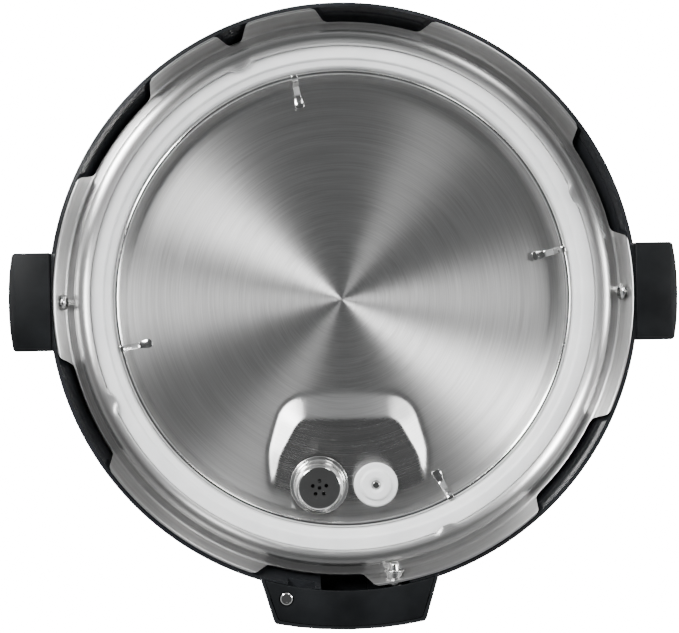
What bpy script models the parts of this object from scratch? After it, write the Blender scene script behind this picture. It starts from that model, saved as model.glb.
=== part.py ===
"""Bayonet lid of a 22 cm pressure cooker: pressed steel lid, black moulded cover, valves and sliding lock.

Frame: +Z up with the handle on top, the lid's axis on Z and the lock block towards -Y.
The origin is the middle of the flat at the centre of the pressed disc's underside.
"""
import math

import bmesh
import bpy
from mathutils import Matrix, Vector
from mathutils.geometry import intersect_line_sphere_2d

MM = 0.001
GAP = 0.3 * MM                    # clearance between neighbouring pieces
MERGE = 0.01 * MM                 # merge distance of every modifier
OVER = 2.0 * MM                   # how far a cutter runs past what it cuts
ROUND_STEPS = 48                  # facets round the lid

# Pressed steel lid
SHEET = 1.2 * MM
DISC_FLAT_R = 12.0 * MM
DISC_R = 104.0 * MM
DISC_DROP = 8.0 * MM              # how far the disc falls from its centre to DISC_R
SEAT_Z = -9.0 * MM                # middle of the sheet over the seal
WALL_R = 125.1 * MM               # middle of the wall round the seal
BEAD_Z = -25.8 * MM
BEAD_R = 130.4 * MM
BEAD_FLANK = 1.2 * MM             # how far the bead's outer side slopes
CEILING_Z = -20.1 * MM
SHOULDER_R = 137.3 * MM
SKIRT_R = 139.7 * MM
SKIRT_Z = -32.3 * MM
NOTCH_FLOOR_R = 136.3 * MM
NOTCH_EDGE_R = 140.4 * MM          # where a notch's sides leave the skirt
NOTCH_FIRST = 37.0                # degrees round the axis
NOTCH_COUNT = 6
NOTCH_HALF_OPEN = 13.3
NOTCH_HALF_FLOOR = 9.0
V_NOTCH_AT = 68.0
V_NOTCH_HALF = 4.5
V_NOTCH_R = 134.5 * MM
DIMPLE_FIRST = 67.0
DIMPLE_COUNT = 4
DIMPLE_WIDE = 11.6 * MM
DIMPLE_R = 122.4 * MM
DIMPLE_Z = -23.0 * MM

# Arch round the valves: a shelf pressed down from the disc, a well from above
ARCH_X = -1.5 * MM
ARCH_Z = -8.0 * MM                # underside of the shelf
ARCH_CORNERS = ((25.0, -61.0, 8.0), (35.0, -79.0, 20.0), (41.5, -110.0, 1.0))
ARCH_RISE = 9.0 * MM
ARCH_SPREAD = 17.5 * MM

# Seal, wire ring and clips
SEAL_IN_R = 114.3 * MM
SEAL_OUT_R = 124.2 * MM
SEAL_TOP = -10.6 * MM
SEAL_LOW = -21.4 * MM
RACK_R = 112.6 * MM
RACK_Z = -16.0 * MM
RACK_WIRE_R = 1.4 * MM
CLIP_ANGLES = (168.6, 78.6, -11.9, -117.2)
CLIP_WIDE = 3.4 * MM
CLIP_THICK = 0.8 * MM
CLIP_FOOT_R = 98.5 * MM
CLIP_FOOT_Z = -8.75 * MM
RIM_SCREW_Z = -26.0 * MM

# Vent pipe, shield and release valve
VENT_AT = (13.6 * MM, -93.6 * MM)
VENT_HOLE_R = 5.0 * MM
VENT_TOP = 15.0 * MM
VENT_R = 4.5 * MM
VENT_BORE_R = 1.5 * MM
SHIELD_FLANGE_R = 14.6 * MM
SHIELD_RING_R = 12.3 * MM
SHIELD_FACE_R = 10.3 * MM
SHIELD_TOP = -10.1 * MM
SHIELD_LOW = -21.0 * MM
SHIELD_WALL = 0.8 * MM
SHIELD_HOLE_R = 0.95 * MM
SHIELD_HOLE_RING_R = 3.5 * MM
WEIGHT_R = 9.0 * MM
WEIGHT_LOW = 8.3 * MM
WEIGHT_TOP = 22.0 * MM
KNOB_R = 13.0 * MM
KNOB_LOW = 22.3 * MM
KNOB_TOP = 31.0 * MM
KNOB_LEVER = 31.0 * MM

# Float valve
FLOAT_AT = (-14.6 * MM, -93.4 * MM)
FLOAT_R = 2.7 * MM
FLOAT_TOP = 8.5 * MM
FLOAT_CAP_R = 11.1 * MM
FLOAT_BOSS_R = 7.6 * MM
FLOAT_CAP_TOP = -13.4 * MM
FLOAT_CAP_LOW = -17.0 * MM

# Sliding lock
PIN_X = -22.0 * MM
PIN_Z = -27.0 * MM
PIN_R = 2.85 * MM
PIN_TIP_R = 2.0 * MM
PIN_TIP_Y = -129.9 * MM
PIN_END_Y = -144.7 * MM
RISER_Y = -145.0 * MM
RISER_DEEP = 3.0 * MM
TONGUE_TOP = -2.9 * MM
TONGUE_LOW = -5.5 * MM
TONGUE_END_Y = -101.0 * MM
BUSH_Y = -133.0 * MM
SPRING_X = -34.0 * MM
SPRING_Z = -5.0 * MM
SPRING_R = 2.2 * MM
SPRING_WIRE_R = 0.35 * MM
SPRING_TURNS = 6
EAR_Y = -104.0 * MM
EAR_DEEP = 2.0 * MM
STOP_Y = -121.0 * MM

# Black moulded cover
COVER_TOP = 24.0 * MM
COVER_TOP_FLAT_R = 34.0 * MM
COVER_R = 143.0 * MM
COVER_LOW = -30.5 * MM
COVER_WALL = 2.4 * MM
COVER_EDGE_R = 140.9 * MM         # inner radius at the lower edge
WING_X = 161.5 * MM
WING_HALF = 23.7 * MM
WING_LOW = -30.8 * MM
WING_TOP = -9.0 * MM
PLATE_LOW = -32.5 * MM
PLATE_TOP = -31.1 * MM
PLATE_START = 141.6 * MM          # inner edge of a wing's plate
BLOCK_INNER = (44.0 * MM, -132.5 * MM)
BLOCK_OUTER = (36.6 * MM, -157.3 * MM)
BLOCK_END_Y = -160.9 * MM
BLOCK_LOW = -31.6 * MM
BLOCK_TOP = -0.5 * MM
BLOCK_WALL = 1.8 * MM
LOCK_COVER_LOW = -32.2 * MM
LOCK_COVER_TOP = -30.9 * MM
LOCK_COVER_IN_R = 141.6 * MM
BLOCK_SCREW_AT = (30.7 * MM, -145.1 * MM)
WELL_LOW = (-32.0 * MM, -118.0 * MM)
WELL_HIGH = (32.0 * MM, -72.0 * MM)
WELL_FLOOR = 6.0 * MM
TRAY_WALL = 2.2 * MM

# Handle
FOOT_X = 48.0 * MM
PAD_R = 15.0 * MM
PAD_TOP = 25.0 * MM
GRIP_TOP = 62.0 * MM
GRIP_UNDER = 46.0 * MM
GRIP_HALF_DEEP = 12.0 * MM
TRIM_HALF = (26.0 * MM, 6.0 * MM)
TRIM_DEEP = 1.6 * MM

BLACK = (0.012, 0.013, 0.015)
STEEL = (0.62, 0.61, 0.60)


# ---------------------------------------------------------------- helpers

def clear_scene():
    """Remove what is in the file."""
    for obj in list(bpy.data.objects):
        bpy.data.objects.remove(obj, do_unlink=True)


def group(name):
    """A collection in the scene."""
    made = bpy.data.collections.new(name)
    bpy.context.scene.collection.children.link(made)
    return made


def finish_of(name, colour, roughness, metallic=0.0):
    """A Principled material."""
    made = bpy.data.materials.new(name)
    made.use_nodes = True
    shader = made.node_tree.nodes["Principled BSDF"]
    shader.inputs["Base Color"].default_value = (*colour, 1.0)
    shader.inputs["Roughness"].default_value = roughness
    shader.inputs["Metallic"].default_value = metallic
    return made


def anchor(name, x, y, z):
    """An empty on a joint's axis, which the moving pieces hang from."""
    empty = bpy.data.objects.new(name, None)
    empty.location = (x, y, z)
    PARTS.objects.link(empty)
    return empty


def part(obj, colour, roughness, metallic=0.0, parent=None):
    """Finish a piece: its material, its parent and smooth shading on round faces."""
    obj.data.materials.append(finish_of(obj.name + "_finish", colour, roughness, metallic))
    if parent is not None:
        obj.parent = parent
        obj.location = obj.location - parent.location
    PARTS.objects.link(obj)
    return obj


def tool(obj):
    """Put a cutter or an added form with the cutters."""
    obj.hide_render = True
    obj.display_type = "WIRE"
    CUTTERS.objects.link(obj)
    return obj


def boolean(target, operation, others):
    """Cut or join others into target, in order."""
    for other in others:
        step = target.modifiers.new(operation.title(), "BOOLEAN")
        step.operation = operation
        step.solver = "EXACT"
        step.object = tool(other)
    return target


def cut(target, *others):
    """Cut others out of target."""
    return boolean(target, "DIFFERENCE", others)


def join(target, *others):
    """Unite others with target."""
    return boolean(target, "UNION", others)


def keep_inside(target, *others):
    """Keep only what of target is inside others."""
    return boolean(target, "INTERSECT", others)


def from_bmesh(name, bm, centre=(0.0, 0.0, 0.0)):
    """An object that holds a bmesh, with its faces pointing out."""
    bmesh.ops.recalc_face_normals(bm, faces=bm.faces)
    mesh = bpy.data.meshes.new(name)
    bm.to_mesh(mesh)
    bm.free()
    mesh.shade_smooth()
    mesh.set_sharp_from_angle(angle=math.radians(35))
    obj = bpy.data.objects.new(name, mesh)
    obj.location = centre
    return obj


def turned(name, profile, centre=(0.0, 0.0, 0.0), steps=32, ring=False):
    """A turned shape from (radius, height) points, listed down its outer side."""
    mesh = bpy.data.meshes.new(name)
    last = len(profile) - 1
    edges = [(i, i + 1) for i in range(last)]
    if ring:
        edges.append((last, 0))
    mesh.from_pydata([(radius, 0.0, height) for radius, height in profile], edges, [])
    obj = bpy.data.objects.new(name, mesh)
    obj.location = centre
    screw = obj.modifiers.new("Turn", "SCREW")
    screw.steps = steps
    screw.render_steps = steps
    screw.use_merge_vertices = True
    screw.merge_threshold = MERGE
    screw.use_smooth_shade = True
    return obj


def box(name, low, high, bevel=0.0):
    """A box between two corners, with its edges rounded if asked."""
    low, high = Vector(low), Vector(high)
    bm = bmesh.new()
    size = Matrix.Diagonal((*(high - low), 1.0))
    bmesh.ops.create_cube(bm, size=1.0, matrix=size)
    obj = from_bmesh(name, bm, (low + high) / 2)
    if bevel:
        rounding(obj, bevel)
    return obj


def rounding(obj, width, segments=2):
    """Round the sharp edges of an object."""
    bevel = obj.modifiers.new("Rounding", "BEVEL")
    bevel.width = width
    bevel.segments = segments
    bevel.limit_method = "ANGLE"
    bevel.angle_limit = math.radians(35)
    return obj


def rod(name, start, end, radius, end_radius=None, sides=24):
    """A cylinder or cone between two points."""
    start, end = Vector(start), Vector(end)
    along = end - start
    turn = Vector((0, 0, 1)).rotation_difference(along).to_matrix().to_4x4()
    bm = bmesh.new()
    bmesh.ops.create_cone(bm, cap_ends=True, segments=sides, radius1=radius,
                          radius2=radius if end_radius is None else end_radius,
                          depth=along.length, matrix=turn)
    return from_bmesh(name, bm, (start + end) / 2)


def prism(name, outline, low, high):
    """An upright prism over (x, y) points."""
    bm = bmesh.new()
    add_loft(bm, outline, low, outline, high)
    return from_bmesh(name, bm)


def add_loft(bm, low_outline, low, high_outline, high):
    """Add a closed loft between two outlines with as many points each."""
    bottom = [bm.verts.new((x, y, low)) for x, y in low_outline]
    top = [bm.verts.new((x, y, high)) for x, y in high_outline]
    bm.faces.new(list(reversed(bottom)))
    bm.faces.new(top)
    count = len(bottom)
    for i in range(count):
        j = (i + 1) % count
        bm.faces.new((bottom[i], bottom[j], top[j], top[i]))


def polar(radius, degrees):
    """A point (x, y) round the lid's axis."""
    angle = math.radians(degrees)
    return radius * math.cos(angle), radius * math.sin(angle)


def rounded(corners, steps=2, closed=False):
    """Points along a line of (x, y, radius) corners, each corner an arc of its radius."""
    points = []
    count = len(corners)
    for i, (x, y, radius) in enumerate(corners):
        here = Vector((x, y))
        if radius == 0 or (not closed and i in (0, count - 1)):
            points.append((x, y))
            continue
        before = (Vector(corners[i - 1][:2]) - here).normalized()
        after = (Vector(corners[(i + 1) % count][:2]) - here).normalized()
        half = before.angle(after) / 2
        middle = here + (before + after).normalized() * radius / math.sin(half)
        first = here + before * radius / math.tan(half) - middle
        turn = first.angle_signed(here + after * radius / math.tan(half) - middle)
        for step in range(steps + 1):
            spoke = first.copy()
            spoke.rotate(Matrix.Rotation(-turn * step / steps, 2))
            points.append(tuple(middle + spoke))
    return points


def grown(corners, grow):
    """Closed (x, y, radius) corners, listed anticlockwise, moved outwards by grow."""
    made = []
    count = len(corners)
    for i, (x, y, radius) in enumerate(corners):
        here = Vector((x, y))
        before = (here - Vector(corners[i - 1][:2])).normalized()
        after = (Vector(corners[(i + 1) % count][:2]) - here).normalized()
        out = Vector((before.y, -before.x)) + Vector((after.y, -after.x))
        moved = here + out * grow / (out.length_squared / 2)
        made.append((moved.x, moved.y, max(radius + grow, 0.0)))
    return made


# ---------------------------------------------------------------- pressed lid

def disc_height(radius):
    """Height of the disc's underside at a radius."""
    reach = max(radius - DISC_FLAT_R, 0.0) / (DISC_R - DISC_FLAT_R)
    return -DISC_DROP * reach ** 2


def sheet_line():
    """Middle line of the pressed sheet, from its centre to the skirt's edge."""
    half = SHEET / 2
    disc = [DISC_FLAT_R + (DISC_R - DISC_FLAT_R) * step / 5 for step in range(6)]
    corners = [(0.0, half, 0.0)] + [(r, half + disc_height(r), 0.0) for r in disc]
    corners += [
        (DISC_R + 5 * MM, SEAT_Z + 0.6 * MM, 0.0),
        (WALL_R, SEAT_Z, 3.5 * MM),
        (WALL_R, BEAD_Z, 2.6 * MM),
        (BEAD_R, BEAD_Z, 2.7 * MM),
        (BEAD_R + BEAD_FLANK, CEILING_Z, 1.4 * MM),
        (SHOULDER_R, CEILING_Z, 2.2 * MM),
        (SKIRT_R, SKIRT_Z, 0.0),
    ]
    return rounded(corners)


def arch_outline(grow):
    """Outline of the arch, a rounded shape that is mirrored about ARCH_X."""
    right = [(ARCH_X + x * MM, y * MM, r * MM) for x, y, r in reversed(ARCH_CORNERS)]
    left = [(ARCH_X - x * MM, y * MM, r * MM) for x, y, r in ARCH_CORNERS]
    return rounded(grown(right + left, grow), steps=5, closed=True)


def arch_form(name, lift):
    """Solid of the arch, spreading upwards, raised by lift."""
    bm = bmesh.new()
    low = ARCH_Z + lift
    add_loft(bm, arch_outline(0.0), low, arch_outline(ARCH_SPREAD), low + ARCH_RISE)
    return from_bmesh(name, bm)


def notch_outline(middle):
    """Plan of one notch: a floor along an arc and sides that run out in an S to the skirt's edge."""
    outline = []
    for share in (-1.0, -0.75, -0.5, -0.25, 0.0):
        angle = NOTCH_HALF_FLOOR - share * (NOTCH_HALF_OPEN - NOTCH_HALF_FLOOR)
        rise = share * share * (3 + 2 * share)
        outline.append((NOTCH_FLOOR_R + rise * (NOTCH_EDGE_R - NOTCH_FLOOR_R), angle))
    side = outline + [(NOTCH_FLOOR_R, NOTCH_HALF_FLOOR / 2)]
    edge = side + [(NOTCH_FLOOR_R, 0.0)] + [(radius, -angle) for radius, angle in reversed(side)]
    far = SKIRT_R + 8 * MM
    edge += [(far, -NOTCH_HALF_OPEN), (far, NOTCH_HALF_OPEN)]
    return [polar(radius, middle + angle) for radius, angle in edge]


def notch_tools():
    """Cutter of all the notches and the small V notch."""
    bm = bmesh.new()
    low, high = SKIRT_Z - OVER, CEILING_Z + 4 * MM
    for index in range(NOTCH_COUNT):
        outline = notch_outline(NOTCH_FIRST + index * 360 / NOTCH_COUNT)
        add_loft(bm, outline, low, outline, high)
    v_notch = [
        polar(V_NOTCH_R, V_NOTCH_AT),
        polar(SKIRT_R + OVER, V_NOTCH_AT - V_NOTCH_HALF),
        polar(SKIRT_R + OVER, V_NOTCH_AT + V_NOTCH_HALF),
    ]
    add_loft(bm, v_notch, low, v_notch, high)
    return from_bmesh("notch_tools", bm)


def dimple(index):
    """One dimple below the seal, pressed in from the wall."""
    bm = bmesh.new()
    across = DIMPLE_WIDE / 2
    reach = WALL_R - DIMPLE_R
    bmesh.ops.create_uvsphere(bm, u_segments=12, v_segments=6, radius=1.0,
                              matrix=Matrix.Diagonal((reach, across, 1.2 * MM, 1.0)))
    angle = DIMPLE_FIRST + index * 360 / DIMPLE_COUNT
    obj = from_bmesh("dimple_form", bm, (*polar(WALL_R, angle), DIMPLE_Z))
    obj.rotation_euler.z = math.radians(angle)
    return obj


def build_pressed_lid():
    """The steel pressing."""
    line = sheet_line()
    lid = turned("pressed_lid", line, steps=ROUND_STEPS)
    sheet = lid.modifiers.new("Sheet", "SOLIDIFY")
    sheet.thickness = SHEET
    sheet.offset = 0.0
    sheet.use_even_offset = True
    arch = arch_form("arch_form", 0.0)
    body = [(radius, height) for radius, height in line if radius <= WALL_R - 1 * MM]
    body += [(body[-1][0], SKIRT_Z), (0.0, SKIRT_Z)]
    keep_inside(arch, turned("under_sheet", body, steps=ROUND_STEPS))
    join(lid, arch)
    cut(lid, arch_form("arch_well", SHEET), notch_tools())
    cut(lid, rod("vent_hole", (*VENT_AT, -20 * MM), (*VENT_AT, 5 * MM), VENT_HOLE_R))
    cut(lid, rod("float_hole", (*FLOAT_AT, -20 * MM), (*FLOAT_AT, 5 * MM), FLOAT_R + 0.5 * MM))
    cut(lid, rod("pin_hole", (PIN_X, -132 * MM, PIN_Z), (PIN_X, -145 * MM, PIN_Z), PIN_R + 1.05 * MM))
    for side in (-1, 1):
        start, end = (side * 132 * MM, 0, RIM_SCREW_Z), (side * 145 * MM, 0, RIM_SCREW_Z)
        cut(lid, rod("rim_screw_hole", start, end, 2.0 * MM, sides=12))
    join(lid, *[dimple(index) for index in range(DIMPLE_COUNT)])
    return part(lid, STEEL, 0.25, 1.0)


def build_seal():
    """The silicone sealing ring: a body with a thin lip on its inner side."""
    profile = [
        (SEAL_OUT_R - 3.5 * MM, SEAL_TOP), (SEAL_OUT_R - 1.2 * MM, SEAL_TOP - 1.3 * MM),
        (SEAL_OUT_R, SEAL_TOP - 3.5 * MM), (SEAL_OUT_R, SEAL_LOW), (SEAL_IN_R + 4 * MM, SEAL_LOW),
        (SEAL_IN_R + 0.3 * MM, SEAL_LOW + 3.5 * MM), (SEAL_IN_R, SEAL_LOW + 6 * MM),
        (SEAL_IN_R + 1.5 * MM, SEAL_TOP - 1.0 * MM), (SEAL_IN_R + 3.5 * MM, SEAL_TOP),
    ]
    part(turned("sealing_ring", profile, steps=ROUND_STEPS, ring=True), (0.75, 0.76, 0.76), 0.45)


def build_rack():
    """The wire ring inside the seal, and the clips that hold it."""
    around = [(RACK_R + RACK_WIRE_R * math.cos(a), RACK_Z + RACK_WIRE_R * math.sin(a))
              for a in (-math.tau * step / 8 for step in range(8))]
    part(turned("ring_rack", around, steps=48, ring=True), STEEL, 0.15, 1.0)
    for number, angle in enumerate(CLIP_ANGLES, 1):
        part(rack_clip("rack_clip_{}".format(number), angle), STEEL, 0.18, 1.0)


def clip_line():
    """Middle line of a clip from its foot to its hook, as (radius, height)."""
    clear = RACK_WIRE_R + CLIP_THICK / 2 + 0.4 * MM
    hook = [(RACK_R + clear * math.cos(math.radians(a)), RACK_Z + clear * math.sin(math.radians(a)))
            for a in (185, 215, 245, 270, 287)]
    return [(CLIP_FOOT_R, CLIP_FOOT_Z), (CLIP_FOOT_R + 6 * MM, CLIP_FOOT_Z),
            (CLIP_FOOT_R + 9 * MM, CLIP_FOOT_Z - 2.2 * MM)] + hook


def rack_clip(name, angle):
    """A bent strip of CLIP_THICK, standing at an angle round the axis."""
    bm = bmesh.new()
    half = CLIP_WIDE / 2
    line = [bm.verts.new((radius, -half, height)) for radius, height in clip_line()]
    edges = [bm.edges.new(pair) for pair in zip(line, line[1:])]
    swept = bmesh.ops.extrude_edge_only(bm, edges=edges)
    moved = [item for item in swept["geom"] if isinstance(item, bmesh.types.BMVert)]
    bmesh.ops.translate(bm, verts=moved, vec=(0, CLIP_WIDE, 0))
    obj = from_bmesh(name, bm)
    obj.rotation_euler.z = math.radians(angle)
    strip = obj.modifiers.new("Strip", "SOLIDIFY")
    strip.thickness = CLIP_THICK
    strip.offset = 0.0
    return obj


# ---------------------------------------------------------------- valves

def build_vent():
    """The vent pipe with its washer and nut, and the cup over its lower end."""
    x, y = VENT_AT
    pipe = turned("vent_pipe", [
        (0.0, VENT_TOP), (VENT_R - 2.5 * MM, VENT_TOP), (VENT_R, VENT_TOP - 4 * MM), (VENT_R, ARCH_Z - GAP),
        (VENT_R + 3.5 * MM, ARCH_Z - GAP), (VENT_R + 3.5 * MM, ARCH_Z - 2.0 * MM), (0.0, ARCH_Z - 2.0 * MM),
    ], (x, y, 0.0), steps=24)
    cut(pipe, rod("vent_bore", (x, y, ARCH_Z - 5 * MM), (x, y, VENT_TOP + OVER), VENT_BORE_R, sides=12))
    part(pipe, STEEL, 0.2, 1.0)
    shelf = ARCH_Z + SHEET + GAP
    washer = ring_between("vent_washer", (x, y), VENT_R + GAP, 7.6 * MM, shelf, shelf + 0.8 * MM)
    part(washer, (0.6, 0.6, 0.58), 0.5)
    nut = rod("vent_nut", (x, y, shelf + 1.1 * MM), (x, y, shelf + 5 * MM), 8.0 * MM, sides=6)
    cut(nut, rod("nut_bore", (x, y, -10 * MM), (x, y, 5 * MM), VENT_R + GAP))
    part(nut, STEEL, 0.3, 1.0)
    build_shield()


def build_shield():
    """The anti-block shield: a thin cup with a flange and six holes in its face."""
    x, y = VENT_AT
    outer = [
        (SHIELD_FLANGE_R, SHIELD_TOP), (SHIELD_FLANGE_R, SHIELD_TOP - SHIELD_WALL),
        (SHIELD_RING_R, SHIELD_TOP - SHIELD_WALL - 0.5 * MM),
        (SHIELD_RING_R - 0.4 * MM, SHIELD_LOW + 2.2 * MM),
        (SHIELD_FACE_R, SHIELD_LOW), (0.0, SHIELD_LOW),
    ]
    inner = [
        (0.0, SHIELD_LOW + SHIELD_WALL), (SHIELD_FACE_R - 0.3 * MM, SHIELD_LOW + SHIELD_WALL),
        (SHIELD_RING_R - SHIELD_WALL - 0.4 * MM, SHIELD_LOW + 2.6 * MM),
        (SHIELD_RING_R - SHIELD_WALL, SHIELD_TOP),
    ]
    shield = turned("anti_block_shield", outer + inner, (x, y, 0.0), steps=32, ring=True)
    for index in range(6):
        spoke = SHIELD_HOLE_RING_R if index else 0.0
        turn = math.radians(90 + 72 * index)
        hx, hy = x + spoke * math.cos(turn), y + spoke * math.sin(turn)
        start, end = (hx, hy, SHIELD_LOW - OVER), (hx, hy, SHIELD_LOW + OVER)
        cut(shield, rod("shield_hole", start, end, SHIELD_HOLE_R, sides=8))
    part(shield, STEEL, 0.15, 1.0)


def ring_between(name, at, inner, outer, low, high, steps=24):
    """A flat ring, turned round an upright axis at (x, y)."""
    profile = [(outer, high), (outer, low), (inner, low), (inner, high)]
    return turned(name, profile, (*at, 0.0), steps=steps, ring=True)


def build_release(lift, turn):
    """The release valve: a weight that lifts off the pipe, and the knob that turns with it."""
    x, y = VENT_AT
    bore = VENT_R + 0.4 * MM
    seat = VENT_TOP + GAP
    weight = turned("release_weight", [
        (0.0, WEIGHT_TOP), (4 * MM, WEIGHT_TOP), (4 * MM, WEIGHT_TOP - 3 * MM),
        (WEIGHT_R, WEIGHT_TOP - 3 * MM), (WEIGHT_R, WEIGHT_LOW), (bore, WEIGHT_LOW),
        (bore, VENT_TOP - 4 * MM + GAP), (VENT_R - 2.1 * MM, seat), (0.0, seat),
    ], (x, y, 0.0), steps=24)
    part(weight, STEEL, 0.3, 1.0, lift)
    knob = turned("release_knob", [
        (0.0, KNOB_TOP), (KNOB_R - 3 * MM, KNOB_TOP), (KNOB_R, KNOB_TOP - 3 * MM),
        (KNOB_R, KNOB_LOW), (0.0, KNOB_LOW),
    ], (x, y, 0.0), steps=32)
    lever = box("lever_form", (x - 4.5 * MM, y + 4 * MM, KNOB_LOW + 1.7 * MM),
                (x + 4.5 * MM, y + KNOB_LEVER, KNOB_TOP - 1.2 * MM), bevel=1.5 * MM)
    join(knob, lever)
    recess = rod("insert_recess", (x, y, KNOB_TOP - 1.5 * MM), (x, y, KNOB_TOP + OVER), 6.3 * MM)
    cut(knob, recess)
    part(knob, BLACK, 0.35, 0.0, turn)
    insert = rod("knob_insert", (x, y, KNOB_TOP - 1.2 * MM), (x, y, KNOB_TOP - 0.1 * MM), 6.0 * MM)
    part(insert, STEEL, 0.25, 1.0, turn)


def build_float(parent):
    """The float valve: a pin with a collar that rests on the arch, and the silicone cap under it."""
    x, y = FLOAT_AT
    rest = ARCH_Z + SHEET + GAP
    pin = turned("float_pin", [
        (0.0, FLOAT_TOP), (FLOAT_R - 0.5 * MM, FLOAT_TOP), (FLOAT_R, FLOAT_TOP - 0.5 * MM),
        (FLOAT_R, rest + 1.5 * MM), (FLOAT_R + 2.2 * MM, rest + 1.5 * MM), (FLOAT_R + 2.2 * MM, rest),
        (FLOAT_R, rest), (FLOAT_R, FLOAT_CAP_TOP + GAP + 0.8 * MM),
        (1.9 * MM, FLOAT_CAP_TOP + GAP + 0.8 * MM),
        (1.9 * MM, FLOAT_CAP_LOW + 0.6 * MM), (0.0, FLOAT_CAP_LOW + 0.6 * MM),
    ], (x, y, 0.0), steps=24)
    part(pin, STEEL, 0.2, 1.0, parent)
    cap = turned("float_cap", [
        (FLOAT_CAP_R - 1 * MM, FLOAT_CAP_TOP), (FLOAT_CAP_R, FLOAT_CAP_TOP - 0.8 * MM),
        (FLOAT_CAP_R - 0.6 * MM, FLOAT_CAP_TOP - 1.6 * MM), (FLOAT_BOSS_R, FLOAT_CAP_TOP - 1.8 * MM),
        (FLOAT_BOSS_R - 0.6 * MM, FLOAT_CAP_LOW), (2.3 * MM, FLOAT_CAP_LOW), (2.3 * MM, FLOAT_CAP_TOP),
    ], (x, y, 0.0), steps=32, ring=True)
    part(cap, (0.75, 0.76, 0.76), 0.45, 0.0, parent)


# ---------------------------------------------------------------- sliding lock

def build_lock(parent):
    """The slider with its tongue and riser, its pin and the bush in the skirt."""
    tongue = box("lock_slider", (PIN_X - 4 * MM, RISER_Y - RISER_DEEP, TONGUE_LOW),
                 (PIN_X + 12 * MM, TONGUE_END_Y, TONGUE_TOP))
    riser = box("riser_form", (PIN_X - 3.9 * MM, RISER_Y - RISER_DEEP + 0.1 * MM, PIN_Z - 3 * MM),
                (PIN_X + 4 * MM, RISER_Y, TONGUE_TOP - 0.1 * MM))
    ear = box("ear_form", (SPRING_X - 3 * MM, EAR_Y - EAR_DEEP, TONGUE_LOW + 0.1 * MM),
              (PIN_X, EAR_Y, TONGUE_TOP - 0.1 * MM))
    part(join(tongue, riser, ear), (0.02, 0.02, 0.022), 0.5, 0.0, parent)
    pin = rod("lock_pin", (PIN_X, PIN_END_Y, PIN_Z), (PIN_X, PIN_TIP_Y - 5 * MM, PIN_Z), PIN_R)
    tip = rod("pin_tip_form", (PIN_X, PIN_TIP_Y - 6 * MM, PIN_Z), (PIN_X, PIN_TIP_Y, PIN_Z),
              PIN_R - 0.05 * MM, PIN_TIP_R)
    part(join(pin, tip), STEEL, 0.15, 1.0, parent)


def build_bush():
    """The flanged bush that the pin slides in."""
    inner = PIN_R + GAP
    profile = [(inner, 0.0), (inner, 7.5 * MM), (inner + 0.45 * MM, 7.5 * MM), (inner + 0.45 * MM, 1.0 * MM),
               (inner + 1.7 * MM, 1.0 * MM), (inner + 1.7 * MM, 0.0)]
    bush = turned("pin_bush", profile, (PIN_X, BUSH_Y, PIN_Z), steps=24, ring=True)
    bush.rotation_euler.x = math.radians(90)
    part(bush, STEEL, 0.2, 1.0)


def build_spring():
    """The return spring between the ear and the stop, a coil along Y."""
    start, end = EAR_Y - EAR_DEEP - GAP - SPRING_WIRE_R, STOP_Y + GAP + SPRING_WIRE_R
    sides = 8
    curve = bpy.data.curves.new("lock_spring", "CURVE")
    curve.dimensions = "3D"
    curve.bevel_depth = SPRING_WIRE_R
    curve.bevel_resolution = 0
    curve.use_fill_caps = True
    coil = curve.splines.new("POLY")
    count = SPRING_TURNS * sides
    coil.points.add(count)
    for step in range(count + 1):
        angle = math.tau * step / sides
        along = start + (end - start) * step / count
        coil.points[step].co = (SPRING_X + SPRING_R * math.cos(angle), along,
                                SPRING_Z + SPRING_R * math.sin(angle), 1.0)
    part(bpy.data.objects.new("lock_spring", curve), STEEL, 0.3, 1.0)


# ---------------------------------------------------------------- moulded cover

def cover_line(inset):
    """Outer line of the cover from its top to its lower edge, moved in by inset."""
    low_r = COVER_R if inset == 0 else COVER_EDGE_R
    return rounded([
        (0.0, COVER_TOP - inset, 0.0),
        (COVER_TOP_FLAT_R, COVER_TOP - inset, 90 * MM),
        (112 * MM, 9 * MM - inset, 60 * MM),
        (139.5 * MM - inset, -5 * MM - inset, 16 * MM),
        (low_r, COVER_LOW, 0.0),
    ])


def wing_outline(side, inset, start):
    """Plan of a wing on one side, its end slightly convex."""
    end, half = WING_X - inset, WING_HALF - inset
    right = [(start, -half), (end - 2 * MM, -half), (end - 0.6 * MM, -half / 2), (end, 0.0),
             (end - 0.6 * MM, half / 2), (end - 2 * MM, half), (start, half)]
    return [(side * x, y) for x, y in right]


def block_outline(inset, inner_y):
    """Plan of the lock block, narrower and slightly convex at its end."""
    slope = (BLOCK_INNER[0] - BLOCK_OUTER[0]) / (BLOCK_INNER[1] - BLOCK_OUTER[1])
    wide = BLOCK_INNER[0] - inset + (inner_y - BLOCK_INNER[1]) * slope
    corner = BLOCK_OUTER[0] - inset, BLOCK_OUTER[1] + inset
    end = BLOCK_END_Y + inset
    return [(wide, inner_y), corner, (corner[0] / 2, end + 0.8 * MM), (0.0, end),
            (-corner[0] / 2, end + 0.8 * MM), (-corner[0], corner[1]), (-wide, inner_y)]


def lock_cover_outline(margin):
    """Plan of the plate under the block, moved in by margin: its inner edge is an arc outside the skirt."""
    inner_r = LOCK_COVER_IN_R + margin
    outline = block_outline(BLOCK_WALL + margin, BLOCK_INNER[1])
    meets = intersect_line_sphere_2d(Vector(outline[0]), Vector(outline[1]), Vector((0.0, 0.0)), inner_r)
    x, y = next(point for point in meets if point)
    reach = math.atan2(x, -y)
    arc = [reach * step / 5 for step in range(-4, 5)]
    return [(x, y), *outline[1:-1], (-x, y)] + [(inner_r * math.sin(a), -inner_r * math.cos(a)) for a in arc]


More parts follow.
